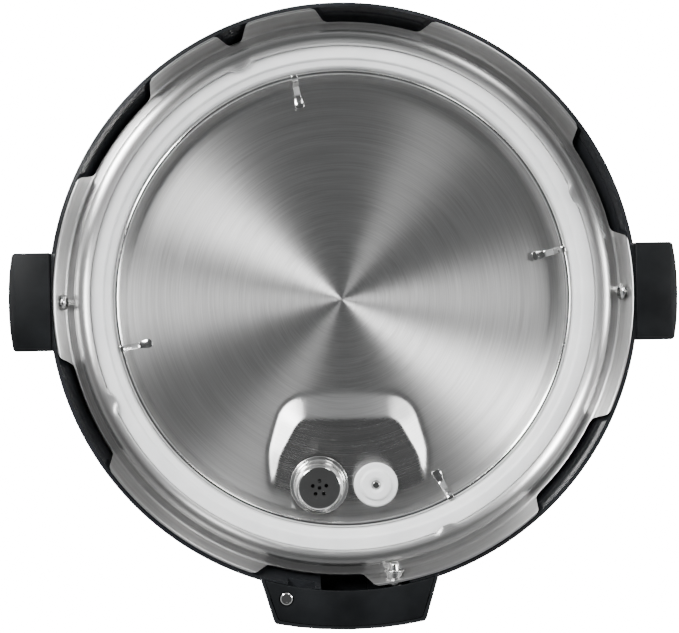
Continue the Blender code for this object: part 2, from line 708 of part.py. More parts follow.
def add_outer_forms(cover):
    """Wings, lock block and handle pads on the outside of the cover."""
    for side in (-1, 1):
        form = prism("wing_form", wing_outline(side, 0.0, 128 * MM), WING_LOW, WING_TOP)
        join(cover, rounding(form, 2.5 * MM))
    form = prism("block_form", block_outline(0.0, -126 * MM), BLOCK_LOW, BLOCK_TOP)
    join(cover, rounding(form, 3.0 * MM))


def hollow(cover):
    """Take out the inside of the cover, of its wings and of its block."""
    inside = cover_line(COVER_WALL)
    inside += [(COVER_EDGE_R, COVER_LOW - OVER), (0.0, COVER_LOW - OVER)]
    cut(cover, turned("inside", inside, steps=ROUND_STEPS))
    for side in (-1, 1):
        outline = wing_outline(side, BLOCK_WALL, 144.5 * MM)
        cut(cover, prism("wing_pocket", outline, PLATE_LOW - OVER, WING_TOP - BLOCK_WALL))
    outline = block_outline(BLOCK_WALL, -144.6 * MM)
    cut(cover, prism("block_pocket", outline, PLATE_LOW - OVER, BLOCK_TOP - BLOCK_WALL + 0.6 * MM))
    low = BLOCK_LOW - OVER
    start, end = (PIN_X - 7 * MM, -148 * MM, low), (14 * MM, -123 * MM, TONGUE_TOP + 0.4 * MM)
    cut(cover, box("lock_slot", start, end))
    cut(cover, box("wall_recess", (17 * MM, -142 * MM, low), (30 * MM, -134 * MM, -24 * MM)))
    cut(cover, prism("rebate", lock_cover_outline(0.0), low, LOCK_COVER_TOP + GAP))
    x, y = BLOCK_SCREW_AT
    join(cover, rod("screw_boss", (x, y, LOCK_COVER_TOP + GAP), (x, y, -4 * MM), 3.4 * MM, sides=16))
    cut(cover, rod("screw_bore", (x, y, low), (x, y, -20 * MM), 1.9 * MM, sides=12))


def open_for_tray(cover):
    """The hole in the cover's top that the valve tray fills."""
    reach = TRAY_WALL + GAP
    (x0, y0), (x1, y1) = WELL_LOW, WELL_HIGH
    low, high = (x0 - reach, y0 - reach, WELL_FLOOR - reach), (x1 + reach, y1 + reach, COVER_TOP + 10 * MM)
    cut(cover, box("tray_hole", low, high))


def build_valve_tray():
    """The tray let into the cover's top, which the valves stand in."""
    (x0, y0), (x1, y1) = WELL_LOW, WELL_HIGH
    low = (x0 - TRAY_WALL, y0 - TRAY_WALL, WELL_FLOOR - TRAY_WALL)
    tray = box("valve_tray", low, (x1 + TRAY_WALL, y1 + TRAY_WALL, COVER_TOP + OVER))
    keep_inside(tray, turned("cover_body", cover_line(0.0) + [(0.0, COVER_LOW)], steps=ROUND_STEPS))
    well = box("well_tool", (x0, y0, WELL_FLOOR), (x1, y1, COVER_TOP + 10 * MM))
    cut(tray, rounding(well, 3.0 * MM))
    top = WELL_FLOOR + OVER
    cut(tray, rod("vent_opening", (*VENT_AT, 0), (*VENT_AT, top), VENT_R + 1.0 * MM))
    cut(tray, rod("float_opening", (*FLOAT_AT, 0), (*FLOAT_AT, top), FLOAT_R + 0.8 * MM))
    part(tray, BLACK, 0.3)


def add_fixings(cover):
    """Pads, screw holes, the centre recess and the spring's stop."""
    for side in (-1, 1):
        x = side * FOOT_X
        join(cover, rod("pad_form", (x, 0, 20.6 * MM), (x, 0, PAD_TOP), PAD_R, PAD_R - 1.5 * MM))
        cut(cover, rod("handle_screw_hole", (x, 0, 15 * MM), (x, 0, 30 * MM), 2.3 * MM, sides=12))
        start, end = (side * 138 * MM, 0, RIM_SCREW_Z), (side * 154 * MM, 0, RIM_SCREW_Z)
        inner, outer = (side * 142.4 * MM, 0, RIM_SCREW_Z), (side * 150 * MM, 0, RIM_SCREW_Z)
        join(cover, rod("boss_form", inner, outer, 3.8 * MM, sides=12))
        cut(cover, rod("rim_screw_bore", start, end, 2.0 * MM, sides=12))
    join(cover, rod("recess_form", (0, 0, 15.6 * MM), (0, 0, COVER_TOP - 1.2 * MM), 14.0 * MM))
    cut(cover, rod("centre_recess", (0, 0, 17.8 * MM), (0, 0, COVER_TOP + OVER), 12.0 * MM))
    cut(cover, rod("stud_hole", (0, 0, 10 * MM), (0, 0, 20 * MM), 3.4 * MM, sides=12))
    stop = box("stop_form", (SPRING_X - 3.5 * MM, STOP_Y - 6 * MM, SPRING_Z - 3 * MM),
               (SPRING_X + 3.5 * MM, STOP_Y, SPRING_Z + 3 * MM))
    join(cover, stop)


def build_cover():
    """The black moulded cover."""
    outer = cover_line(0.0) + [(0.0, COVER_LOW)]
    cover = turned("outer_cover", outer, steps=ROUND_STEPS)
    add_outer_forms(cover)
    hollow(cover)
    open_for_tray(cover)
    add_fixings(cover)
    part(cover, BLACK, 0.3)


def build_plates():
    """The plates under the wings and the lock block."""
    for side, name in ((1, "wing_plate_right"), (-1, "wing_plate_left")):
        plate = prism(name, wing_outline(side, 0.0, PLATE_START), PLATE_LOW, PLATE_TOP)
        part(plate, (0.03, 0.033, 0.035), 0.55)
    plate = prism("lock_cover", lock_cover_outline(GAP), LOCK_COVER_LOW, LOCK_COVER_TOP)
    x, y = BLOCK_SCREW_AT
    cut(plate, rod("lock_cover_hole", (x, y, -40 * MM), (x, y, -20 * MM), 1.9 * MM, sides=12))
    cut(plate, rod("head_recess", (x, y, -40 * MM), (x, y, LOCK_COVER_LOW + 0.9 * MM), 3.6 * MM, sides=24))
    part(plate, (0.02, 0.022, 0.025), 0.5)


# ---------------------------------------------------------------- fasteners and handle

def screw(name, head, tip, head_r, head_deep, shank_r):
    """A pan-head screw from its head's outer face to its tip, with a cross slot."""
    head, tip = Vector(head), Vector(tip)
    along = (tip - head).normalized()
    made = rod(name, head, head + along * head_deep, head_r * 0.8, head_r, sides=20)
    join(made, rod(name + "_shank", head + along * head_deep * 0.5, tip, shank_r, sides=12))
    across = along.orthogonal().normalized()
    for way in (across, along.cross(across)):
        arm = abs_vector(way) * head_r * 0.55 + abs_vector(along) * head_deep * 0.5
        wide = abs_vector(along.cross(way)) * 0.45 * MM
        cut(made, box(name + "_slot", head - arm - wide, head + arm + wide))
    return made


def abs_vector(vector):
    """The vector with every component positive."""
    return Vector([abs(value) for value in vector])


def build_fasteners():
    """Rim screws, block screw, handle screws and the centre fixing."""
    for side, name in ((1, "right"), (-1, "left")):
        head, tip = (side * 134.7 * MM, 0, RIM_SCREW_Z), (side * 149 * MM, 0, RIM_SCREW_Z)
        rim = screw("rim_screw_" + name, head, tip, 4.0 * MM, 1.9 * MM, 1.6 * MM)
        part(rim, STEEL, 0.25, 1.0)
        x = side * FOOT_X
        head, tip = (x, 0, 15.0 * MM), (x, 0, 37.0 * MM)
        foot = screw("handle_screw_" + name, head, tip, 4.0 * MM, 2.2 * MM, 1.9 * MM)
        part(foot, STEEL, 0.3, 1.0)
    x, y = BLOCK_SCREW_AT
    head, tip = (x, y, LOCK_COVER_LOW - 0.2 * MM), (x, y, -22.0 * MM)
    low = screw("lock_cover_screw", head, tip, 3.1 * MM, 0.8 * MM, 1.5 * MM)
    part(low, STEEL, 0.25, 1.0)
    stud = turned("centre_stud", [
        (0.0, 22.0 * MM), (3.0 * MM, 22.0 * MM), (3.0 * MM, 4.0 * MM),
        (7.0 * MM, 2.0 * MM), (7.0 * MM, SHEET + GAP), (0.0, SHEET + GAP),
    ], steps=16)
    part(stud, STEEL, 0.3, 1.0)
    part(ring_between("centre_washer", (0, 0), 3.3 * MM, 8.0 * MM, 18.1 * MM, 19.0 * MM), STEEL, 0.3, 1.0)
    nut = rod("centre_nut", (0, 0, 19.3 * MM), (0, 0, 21.8 * MM), 6.0 * MM, sides=6)
    cut(nut, rod("centre_nut_bore", (0, 0, 15 * MM), (0, 0, 25 * MM), 3.3 * MM, sides=16))
    part(nut, STEEL, 0.3, 1.0)
    part(rod("centre_cap", (0, 0, 22.4 * MM), (0, 0, COVER_TOP), 11.7 * MM), BLACK, 0.35)


def grip_outline():
    """Outline of the handle seen along Y, as (x, z) points with round corners."""
    foot = PAD_TOP + GAP
    right = [(34 * MM, foot, 0.0), (FOOT_X + 13 * MM, foot, 0.0),
             (FOOT_X + 9 * MM, GRIP_TOP - 3 * MM, 14 * MM), (30 * MM, GRIP_TOP, 40 * MM)]
    left = [(-x, z, r) for x, z, r in reversed(right)]
    under = [(-32 * MM, GRIP_UNDER, 9 * MM), (32 * MM, GRIP_UNDER, 9 * MM)]
    return rounded(right + left + under, closed=True)


def build_handle():
    """The bridge handle and the strip let into its top."""
    bm = bmesh.new()
    outline = grip_outline()
    add_loft(bm, outline, -GRIP_HALF_DEEP, outline, GRIP_HALF_DEEP)
    bmesh.ops.rotate(bm, verts=bm.verts, matrix=Matrix.Rotation(math.radians(90), 3, "X"))
    grip = rounding(from_bmesh("handle_grip", bm), 3.0 * MM)
    half_x, half_y = TRIM_HALF
    cut(grip, box("trim_recess", (-half_x - GAP, -half_y - GAP, GRIP_TOP - TRIM_DEEP - GAP),
                  (half_x + GAP, half_y + GAP, GRIP_TOP + OVER)))
    for side in (-1, 1):
        start, end = (side * FOOT_X, 0, 20 * MM), (side * FOOT_X, 0, 38 * MM)
        cut(grip, rod("handle_bore", start, end, 2.3 * MM, sides=12))
    part(grip, BLACK, 0.35)
    trim = box("handle_trim", (-half_x, -half_y, GRIP_TOP - TRIM_DEEP), (half_x, half_y, GRIP_TOP - 0.2 * MM))
    part(trim, STEEL, 0.3, 1.0)


def build_magnet():
    """The magnet that tells the cooker that its lid is on."""
    low, high = (16 * MM, -153.5 * MM, -29.9 * MM), (22 * MM, -146 * MM, -24 * MM)
    magnet = box("sensor_magnet", low, high, bevel=0.5 * MM)
    part(magnet, (0.3, 0.3, 0.3), 0.4, 0.8)


def main():
    """Build the lid."""
    build_pressed_lid()
    build_seal()
    build_rack()
    build_vent()
    lift = anchor("release_lift_axis", *VENT_AT, WEIGHT_LOW)
    turn = anchor("release_turn_axis", *VENT_AT, KNOB_LOW)
    build_release(lift, turn)
    build_float(anchor("float_axis", *FLOAT_AT, 0.0))
    build_lock(anchor("lock_axis", PIN_X, 0.0, PIN_Z))
    build_bush()
    build_spring()
    build_cover()
    build_valve_tray()
    build_plates()
    build_fasteners()
    build_handle()
    build_magnet()


clear_scene()
PARTS = group("pressure_cooker_lid")
CUTTERS = group("cutters")
main()
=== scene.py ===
"""Looks of a pressure cooker lid: pressed and brushed steel, silicone, wire and black mouldings.

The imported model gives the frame: +Z up with the handle on top, the lock block towards -Y.
Every class below is one sub-assembly. It holds its sizes in metres and makes its own pieces.
"""
import logging
import math
from dataclasses import dataclass
from enum import Enum
from functools import partial
from typing import Any, Callable, Iterable, Optional, Sequence

import bmesh
import bpy
import numpy as np
from mathutils import Matrix, Vector
from mathutils.geometry import intersect_line_sphere_2d


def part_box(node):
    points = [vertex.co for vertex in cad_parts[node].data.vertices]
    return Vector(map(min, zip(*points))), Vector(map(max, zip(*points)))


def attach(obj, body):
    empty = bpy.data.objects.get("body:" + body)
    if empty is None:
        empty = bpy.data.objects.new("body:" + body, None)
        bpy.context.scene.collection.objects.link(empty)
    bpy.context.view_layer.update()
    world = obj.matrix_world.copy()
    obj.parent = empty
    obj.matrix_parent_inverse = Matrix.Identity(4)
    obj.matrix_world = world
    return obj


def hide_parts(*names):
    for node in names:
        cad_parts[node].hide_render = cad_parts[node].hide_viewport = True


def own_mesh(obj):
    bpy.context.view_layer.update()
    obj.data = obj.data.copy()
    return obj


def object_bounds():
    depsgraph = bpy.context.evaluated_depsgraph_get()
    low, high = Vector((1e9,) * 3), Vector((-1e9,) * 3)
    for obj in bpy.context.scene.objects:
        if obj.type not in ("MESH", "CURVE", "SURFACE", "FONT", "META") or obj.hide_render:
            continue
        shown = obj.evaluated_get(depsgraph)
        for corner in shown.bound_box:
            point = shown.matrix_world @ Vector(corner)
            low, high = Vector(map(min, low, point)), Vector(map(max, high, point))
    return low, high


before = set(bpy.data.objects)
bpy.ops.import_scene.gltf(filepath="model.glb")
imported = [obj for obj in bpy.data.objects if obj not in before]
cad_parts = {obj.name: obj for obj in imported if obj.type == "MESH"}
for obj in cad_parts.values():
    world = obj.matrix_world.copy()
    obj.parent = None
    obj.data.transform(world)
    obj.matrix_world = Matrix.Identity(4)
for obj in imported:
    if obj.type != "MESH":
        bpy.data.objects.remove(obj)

LOG = logging.getLogger("lid")
CAD_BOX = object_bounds()
MM = 0.001
GAP = 0.3 * MM
SMOOTH_ANGLE = math.radians(32)
Point = tuple[float, float]
Corner = tuple[float, float, float]


class Body(Enum):
    """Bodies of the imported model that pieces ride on."""

    LID = "lid"
    WEIGHT = "release_weight_body"
    KNOB = "release_knob_body"
    FLOAT = "float_valve"
    LOCK = "lock_slide"


class Slot(Enum):
    """Material slots of the record."""

    PRESSED = "pressed_steel"
    BRIGHT = "bright_steel"
    GLOSS = "black_gloss"
    MATTE = "black_matte"
    SILICONE = "silicone"


# ---------------------------------------------------------------- shader and geometry trees

class Wires:
    """Adds and joins the nodes of one node tree."""

    def __init__(self, tree: bpy.types.NodeTree) -> None:
        """Keep the tree.

        Args:
            tree: the shader or geometry tree to build in.
        """
        self.tree = tree

    def add(self, kind: str, inputs: Optional[dict[Any, Any]] = None, **settings: Any) -> bpy.types.Node:
        """Add a node.

        Args:
            kind: the node's type name.
            inputs: socket name or index to a value or to another node's output.
            settings: attributes of the node.

        Returns:
            The new node.
        """
        node = self.tree.nodes.new(kind)
        for name, value in settings.items():
            setattr(node, name, value)
        for key, value in (inputs or {}).items():
            socket = node.inputs[key]
            if isinstance(value, bpy.types.NodeSocket):
                self.tree.links.new(value, socket)
            else:
                socket.default_value = value
        return node

    def maths(self, operation: str, first: Any, second: Any = 0.0) -> bpy.types.NodeSocket:
        """Add a Math node.

        Args:
            operation: its operation.
            first: first value or socket.
            second: second value or socket.

        Returns:
            The result's socket.
        """
        return self.add("ShaderNodeMath", {0: first, 1: second}, operation=operation).outputs[0]

    def vector(self, operation: str, first: Any, second: Any = (0.0, 0.0, 0.0)) -> bpy.types.NodeSocket:
        """Add a Vector Math node that gives a vector.

        Args:
            operation: its operation.
            first: first vector or socket.
            second: second vector or socket.

        Returns:
            The result's socket.
        """
        return self.add("ShaderNodeVectorMath", {0: first, 1: second}, operation=operation).outputs["Vector"]

    def spread(self, value: Any, low: float, high: float, to_low: float,
               to_high: float) -> bpy.types.NodeSocket:
        """Map a value from one range to another, clamped.

        Args:
            value: the socket to map.
            low: start of its range.
            high: end of its range.
            to_low: result at low.
            to_high: result at high.

        Returns:
            The result's socket.
        """
        inputs = {"Value": value, "From Min": low, "From Max": high, "To Min": to_low, "To Max": to_high}
        return self.add("ShaderNodeMapRange", inputs).outputs["Result"]

    def tint(self, factor: Any, dark: Sequence[float], light: Sequence[float]) -> bpy.types.NodeSocket:
        """Blend two colours.

        Args:
            factor: socket from 0 to 1.
            dark: colour at 0.
            light: colour at 1.

        Returns:
            The colour's socket.
        """
        inputs = {"Factor": factor, "A": (*dark, 1.0), "B": (*light, 1.0)}
        mix = self.tree.nodes.new("ShaderNodeMix")
        mix.data_type = "RGBA"
        named = {"Factor": mix.inputs[0], "A": mix.inputs[6], "B": mix.inputs[7]}
        self.tree.links.new(inputs["Factor"], named["Factor"])
        named["A"].default_value = inputs["A"]
        named["B"].default_value = inputs["B"]
        return mix.outputs[2]


def new_shader(name: str) -> tuple[bpy.types.Material, Wires, bpy.types.Node]:
    """Make a material with one Principled shader.

    Args:
        name: the material's name.

    Returns:
        The material, its wires and its shader.
    """
    made = bpy.data.materials.new(name)
    made.use_nodes = True
    return made, Wires(made.node_tree), made.node_tree.nodes["Principled BSDF"]


@dataclass(frozen=True)
class BrushedSteel:
    """Steel brushed in circles round the lid's axis, with the radial glints that this gives, painted shade on
    the arch's shelf and a painted highlight on the arch's walls.
    """

    name: str
    dark: tuple[float, float, float] = (0.34, 0.335, 0.33)
    light: tuple[float, float, float] = (0.88, 0.88, 0.875)
    roughness: float = 0.30
    anisotropy: float = 0.93
    groove: float = 0.45 * MM
    bump: float = 0.06

    def make(self) -> bpy.types.Material:
        """Build the material.

        Returns:
            The material.
        """
        made, wires, shader = new_shader(self.name)
        place = wires.add("ShaderNodeTexCoord").outputs["Object"]
        flat = wires.vector("MULTIPLY", place, (1.0, 1.0, 0.0))
        radius = wires.add("ShaderNodeVectorMath", {0: flat}, operation="LENGTH").outputs["Value"]
        spoke = wires.vector("NORMALIZE", flat)
        fine = self.rings(wires, radius, spoke, self.groove, 2.5)
        broad = self.rings(wires, radius, spoke, 4 * self.groove, 1.6)
        grain = wires.maths("ADD", wires.maths("MULTIPLY", fine, 0.8), wires.maths("MULTIPLY", broad, 0.2))
        # Painted light: the base colour is darkened on the arch's flat shelf as painted shade, standing for
        # its dark reflection, and lightened on the arch's sloping walls as a painted highlight. The shelf
        # mask also lowers the roughness there.
        wall = wires.add("ShaderNodeAttribute", attribute_name="arch_wall_painted_highlight").outputs["Fac"]
        shelf = wires.add("ShaderNodeAttribute", attribute_name="arch_shelf_painted_shade_and_gloss").outputs["Fac"]
        grain_and_painted_light = wires.maths("SUBTRACT", wires.spread(grain, 0.3, 0.7, 0.0, 1.0),
                           wires.maths("MULTIPLY", shelf, 0.85))
        grain_and_painted_light = wires.maths("ADD", wires.maths("MULTIPLY", wall, 0.15), grain_and_painted_light)
        wires.tree.links.new(wires.tint(wires.spread(grain_and_painted_light, -1.4, 2.1, 0.0, 1.0), self.dark, self.light),
                             shader.inputs["Base Color"])
        rough = wires.spread(grain, 0.3, 0.7, self.roughness * 0.93, self.roughness * 1.07)
        rough = wires.maths("SUBTRACT", rough, wires.maths("MULTIPLY", shelf, 0.04))
        wires.tree.links.new(rough, shader.inputs["Roughness"])
        shader.inputs["Metallic"].default_value = 1.0
        shader.inputs["Anisotropic"].default_value = self.anisotropy
        wires.tree.links.new(spoke, shader.inputs["Tangent"])
        bump = wires.add("ShaderNodeBump", {"Strength": self.bump, "Distance": 0.05 * MM, "Height": fine})
        wires.tree.links.new(bump.outputs["Normal"], shader.inputs["Normal"])
        return made

    @staticmethod
    def rings(wires: Wires, radius: Any, spoke: Any, width: float, arcs: float) -> bpy.types.NodeSocket:
        """Add noise drawn out into arcs round the axis.

        Args:
            wires: where to build.
            radius: socket of the distance from the axis.
            spoke: socket of the unit direction from the axis.
            width: width of a groove.
            arcs: how often an arc changes on its way round.

        Returns:
            The noise's socket.
        """
        across = wires.maths("DIVIDE", radius, width)
        along = wires.vector("SCALE", spoke)
        along.node.inputs["Scale"].default_value = arcs
        split = wires.add("ShaderNodeSeparateXYZ", {0: along})
        spot = wires.add("ShaderNodeCombineXYZ", {0: split.outputs[0], 1: split.outputs[1], 2: across})
        noise = wires.add("ShaderNodeTexNoise", {"Vector": spot.outputs[0], "Scale": 1.0, "Detail": 3.0})
        return noise.outputs["Fac"]


@dataclass(frozen=True)
class Metal:
    """Plain steel with faint marks and uneven gloss."""

    name: str
    colour: tuple[float, float, float] = (0.70, 0.70, 0.69)
    roughness: float = 0.14
    grain: float = 1.2 * MM
    uneven: float = 0.35

    def make(self) -> bpy.types.Material:
        """Build the material.

        Returns:
            The material.
        """
        made, wires, shader = new_shader(self.name)
        place = wires.add("ShaderNodeTexCoord").outputs["Object"]
        noise = wires.add("ShaderNodeTexNoise", {"Vector": place, "Scale": 1.0 / self.grain, "Detail": 4.0})
        cloud = wires.add("ShaderNodeTexNoise", {"Vector": place, "Scale": 0.06 / self.grain, "Detail": 2.0})
        marks = wires.maths("MULTIPLY", noise.outputs["Fac"], cloud.outputs["Fac"])
        rough = wires.spread(marks, 0.12, 0.4, self.roughness * (1 - self.uneven),
                             self.roughness * (1 + self.uneven))
        wires.tree.links.new(rough, shader.inputs["Roughness"])
        shade = [value * 0.86 for value in self.colour]
        colour = wires.tint(wires.spread(cloud.outputs["Fac"], 0.3, 0.7, 0.0, 1.0), shade, self.colour)
        wires.tree.links.new(colour, shader.inputs["Base Color"])
        shader.inputs["Metallic"].default_value = 1.0
        bump = wires.add("ShaderNodeBump",
                         {"Strength": 0.05, "Distance": 0.05 * MM, "Height": noise.outputs["Fac"]})
        wires.tree.links.new(bump.outputs["Normal"], shader.inputs["Normal"])
        return made


@dataclass(frozen=True)
class Silicone:
    """Milky silicone: soft gloss, a little light through it and a faint haze of dust."""

    name: str
    dark: tuple[float, float, float] = (0.80, 0.81, 0.815)
    light: tuple[float, float, float] = (0.90, 0.905, 0.905)
    roughness: float = 0.42

    def make(self) -> bpy.types.Material:
        """Build the material.

        Returns:
            The material.
        """
        made, wires, shader = new_shader(self.name)
        place = wires.add("ShaderNodeTexCoord").outputs["Object"]
        cloud = wires.add("ShaderNodeTexNoise",
                          {"Vector": place, "Scale": 60.0, "Detail": 3.0}).outputs["Fac"]
        dust = wires.add("ShaderNodeTexNoise",
                         {"Vector": place, "Scale": 2500.0, "Detail": 2.0}).outputs["Fac"]
        wires.tree.links.new(wires.tint(wires.spread(cloud, 0.3, 0.7, 0.0, 1.0), self.dark, self.light),
                             shader.inputs["Base Color"])
        wires.tree.links.new(wires.spread(dust, 0.3, 0.7, self.roughness - 0.06, self.roughness + 0.08),
                             shader.inputs["Roughness"])
        shader.inputs["Subsurface Weight"].default_value = 0.25
        shader.inputs["Subsurface Radius"].default_value = (3.0, 3.0, 3.2)
        shader.inputs["Subsurface Scale"].default_value = 1.0 * MM
        shader.inputs["IOR"].default_value = 1.41
        bump = wires.add("ShaderNodeBump", {"Strength": 0.08, "Distance": 0.1 * MM, "Height": dust})
        wires.tree.links.new(bump.outputs["Normal"], shader.inputs["Normal"])
        return made


@dataclass(frozen=True)
class Moulding:
    """Black moulded plastic, from glossy to spark-eroded, with its grain as bump."""

    name: str
    dark: tuple[float, float, float] = (0.008, 0.009, 0.010)
    light: tuple[float, float, float] = (0.014, 0.015, 0.017)
    roughness: float = 0.22
    grain: float = 0.25 * MM
    bump: float = 0.04
    coat: float = 0.3
    shine: float = 0.5

    def make(self) -> bpy.types.Material:
        """Build the material.

        Returns:
            The material.
        """
        made, wires, shader = new_shader(self.name)
        place = wires.add("ShaderNodeTexCoord").outputs["Object"]
        fine = wires.add("ShaderNodeTexNoise", {"Vector": place, "Scale": 1.0 / self.grain, "Detail": 3.0})
        cloud = wires.add("ShaderNodeTexNoise", {"Vector": place, "Scale": 45.0, "Detail": 4.0})
        wires.tree.links.new(wires.tint(wires.spread(cloud.outputs["Fac"], 0.3, 0.7, 0.0, 1.0), self.dark,
                                        self.light),
                             shader.inputs["Base Color"])
        rough = wires.spread(cloud.outputs["Fac"], 0.3, 0.75, self.roughness * 0.85, self.roughness * 1.25)
        wires.tree.links.new(rough, shader.inputs["Roughness"])
        shader.inputs["Specular IOR Level"].default_value = self.shine
        shader.inputs["Coat Weight"].default_value = self.coat
        shader.inputs["Coat Roughness"].default_value = 0.08
        bump = wires.add("ShaderNodeBump",
                         {"Strength": self.bump, "Distance": 0.2 * MM, "Height": fine.outputs["Fac"]})
        wires.tree.links.new(bump.outputs["Normal"], shader.inputs["Normal"])
        return made


# ---------------------------------------------------------------- forms

def rounded(corners: Sequence[Corner], steps: int = 6, closed: bool = False) -> list[Point]:
    """Points along a line whose corners are arcs.

    Args:
        corners: (x, y, radius) of each corner.
        steps: segments in an arc.
        closed: whether the last corner joins the first.

    Returns:
        The points.
    """
    points: list[Point] = []
    count = len(corners)
    for index, (x, y, radius) in enumerate(corners):
        if radius == 0 or (not closed and index in (0, count - 1)):
            points.append((x, y))
            continue
        here = Vector((x, y))
        before = (Vector(corners[index - 1][:2]) - here).normalized()
        after = (Vector(corners[(index + 1) % count][:2]) - here).normalized()
        half = before.angle(after) / 2
        middle = here + (before + after).normalized() * radius / math.sin(half)
        first = here + before * radius / math.tan(half) - middle
        turn = first.angle_signed(here + after * radius / math.tan(half) - middle)
        for step in range(steps + 1):
            spoke = first.copy()
            spoke.rotate(Matrix.Rotation(-turn * step / steps, 2))
            points.append(tuple(middle + spoke))
    return points


def lathe(name: str, profile: Sequence[Point], steps: int = 192, ring: bool = False,
          at: Sequence[float] = (0.0, 0.0, 0.0), turn: Optional[Matrix] = None) -> bpy.types.Mesh:
    """Turn a profile about Z.

    Args:
        name: the mesh's name.
        profile: (radius, height) points down the outer side.
        steps: facets round the axis.
        ring: whether the profile closes on itself.
        at: where the axis's origin goes.
        turn: how the axis is turned before it is placed.

    Returns:
        The mesh.
    """
    verts: list[tuple[float, float, float]] = []
    rings: list[list[int]] = []
    for radius, height in profile:
        if radius < 1e-7:
            rings.append([len(verts)] * steps)
            verts.append((0.0, 0.0, height))
            continue
        rings.append(list(range(len(verts), len(verts) + steps)))
        for step in range(steps):
            angle = math.tau * step / steps
            verts.append((radius * math.cos(angle), radius * math.sin(angle), height))
    pairs = list(zip(rings, rings[1:])) + ([(rings[-1], rings[0])] if ring else [])
    faces = []
    for upper, lower in pairs:
        for step in range(steps):
            after = (step + 1) % steps
            face = dict.fromkeys((upper[step], lower[step], lower[after], upper[after]))
            if len(face) > 2:
                faces.append(tuple(face))
    mesh = bpy.data.meshes.new(name)
    mesh.from_pydata(verts, [], faces)
    mesh.transform(Matrix.Translation(at) @ (turn or Matrix.Identity(3)).to_4x4())
    return mesh


def loft(name: str, low: Sequence[Point], low_z: float, high: Sequence[Point],
         high_z: float) -> bpy.types.Mesh:
    """Close a form between two outlines of as many points.

    Args:
        name: the mesh's name.
        low: (x, y) points of the lower outline, anticlockwise.
        low_z: its height.
        high: points of the upper outline.
        high_z: its height.

    Returns:
        The mesh.
    """
    count = len(low)
    verts = [(x, y, low_z) for x, y in low] + [(x, y, high_z) for x, y in high]
    sides = [(i, (i + 1) % count, count + (i + 1) % count, count + i) for i in range(count)]
    mesh = bpy.data.meshes.new(name)
    mesh.from_pydata(verts, [], [tuple(reversed(range(count))), tuple(range(count, 2 * count)), *sides])
    return facing_out(mesh)


def stack(name: str, sections: Sequence[tuple[Sequence[Point], float]]) -> bpy.types.Mesh:
    """A closed form through flat outlines, which all have the same number of points.

    Args:
        name: the mesh's name.
        sections: each outline with its height, from low to high.

    Returns:
        The mesh.
    """
    count = len(sections[0][0])
    points = [(x, y, z) for plan, z in sections for x, y in plan]
    faces = [tuple(reversed(range(count))), tuple(range(len(points) - count, len(points)))]
    for level in range(len(sections) - 1):
        start = level * count
        for i in range(count):
            j = (i + 1) % count
            faces.append((start + i, start + j, start + count + j, start + count + i))
    mesh = bpy.data.meshes.new(name)
    mesh.from_pydata(points, [], faces)
    return facing_out(mesh)


def crowned(name: str, plan: Callable[[float], list[Point]], low: float, high: float, low_r: float,
            high_r: float, steps: int = 6) -> bpy.types.Mesh:
    """An upright form whose lower and upper edges are rounded.

    Args:
        name: the mesh's name.
        plan: gives the outline for a distance inside the widest one.
        low: underside.
        high: top.
        low_r: rounding below.
        high_r: rounding above.
        steps: faces across each rounding.

    Returns:
        The mesh.
    """
    turns = [math.radians(90) * i / steps for i in range(steps + 1)]
    under = [(plan(low_r * (1 - math.sin(a))), low + low_r * (1 - math.cos(a))) for a in turns]
    over = [(plan(high_r * (1 - math.sin(a))), high - high_r * (1 - math.cos(a))) for a in reversed(turns)]
    return stack(name, under + over)


def facing_out(mesh: bpy.types.Mesh) -> bpy.types.Mesh:
    """Turn every face of a closed mesh outwards.

    Args:
        mesh: the mesh.

    Returns:
        The same mesh.
    """
    bm = bmesh.new()
    bm.from_mesh(mesh)
    bmesh.ops.recalc_face_normals(bm, faces=bm.faces)
    bm.to_mesh(mesh)
    bm.free()
    return mesh


def block(name: str, low: Sequence[float], high: Sequence[float], edge: float = 0.0,
          segments: int = 4) -> bpy.types.Mesh:
    """A box with rounded edges.

    Args:
        name: the mesh's name.
        low: lowest corner.
        high: highest corner.
        edge: radius of its edges.
        segments: facets in an edge.

    Returns:
        The mesh.
    """
    low, high = Vector(low), Vector(high)
    bm = bmesh.new()
    place = Matrix.Translation((low + high) / 2) @ Matrix.Diagonal((*(high - low), 1.0))
    bmesh.ops.create_cube(bm, size=1.0, matrix=place)
    if edge:
        bmesh.ops.bevel(bm, geom=list(bm.edges), offset=edge, segments=segments, profile=0.5, affect="EDGES")
    mesh = bpy.data.meshes.new(name)
    bm.to_mesh(mesh)
    bm.free()
    return mesh


def rod(name: str, start: Sequence[float], end: Sequence[float], radius: float,
        end_radius: Optional[float] = None, sides: int = 48) -> bpy.types.Mesh:
    """A cylinder or cone between two points.

    Args:
        name: the mesh's name.
        start: middle of one end.
        end: middle of the other end.
        radius: radius at the start.
        end_radius: radius at the end, the same if left out.
        sides: facets round it.

    Returns:
        The mesh.
    """
    start, end = Vector(start), Vector(end)
    along = end - start
    turn = Vector((0, 0, 1)).rotation_difference(along).to_matrix()
    last = radius if end_radius is None else end_radius
    profile = [(0.0, along.length), (last, along.length), (radius, 0.0), (0.0, 0.0)]
    return lathe(name, profile, sides, at=start, turn=turn)


def merged(name: str, meshes: Iterable[bpy.types.Mesh]) -> bpy.types.Mesh:
    """Put meshes into one.

    Args:
        name: the new mesh's name.
        meshes: the meshes, which are removed.

    Returns:
        The new mesh.
    """
    bm = bmesh.new()
    for mesh in meshes:
        bm.from_mesh(mesh)
        bpy.data.meshes.remove(mesh)
    made = bpy.data.meshes.new(name)
    bm.to_mesh(made)
    bm.free()
    return made


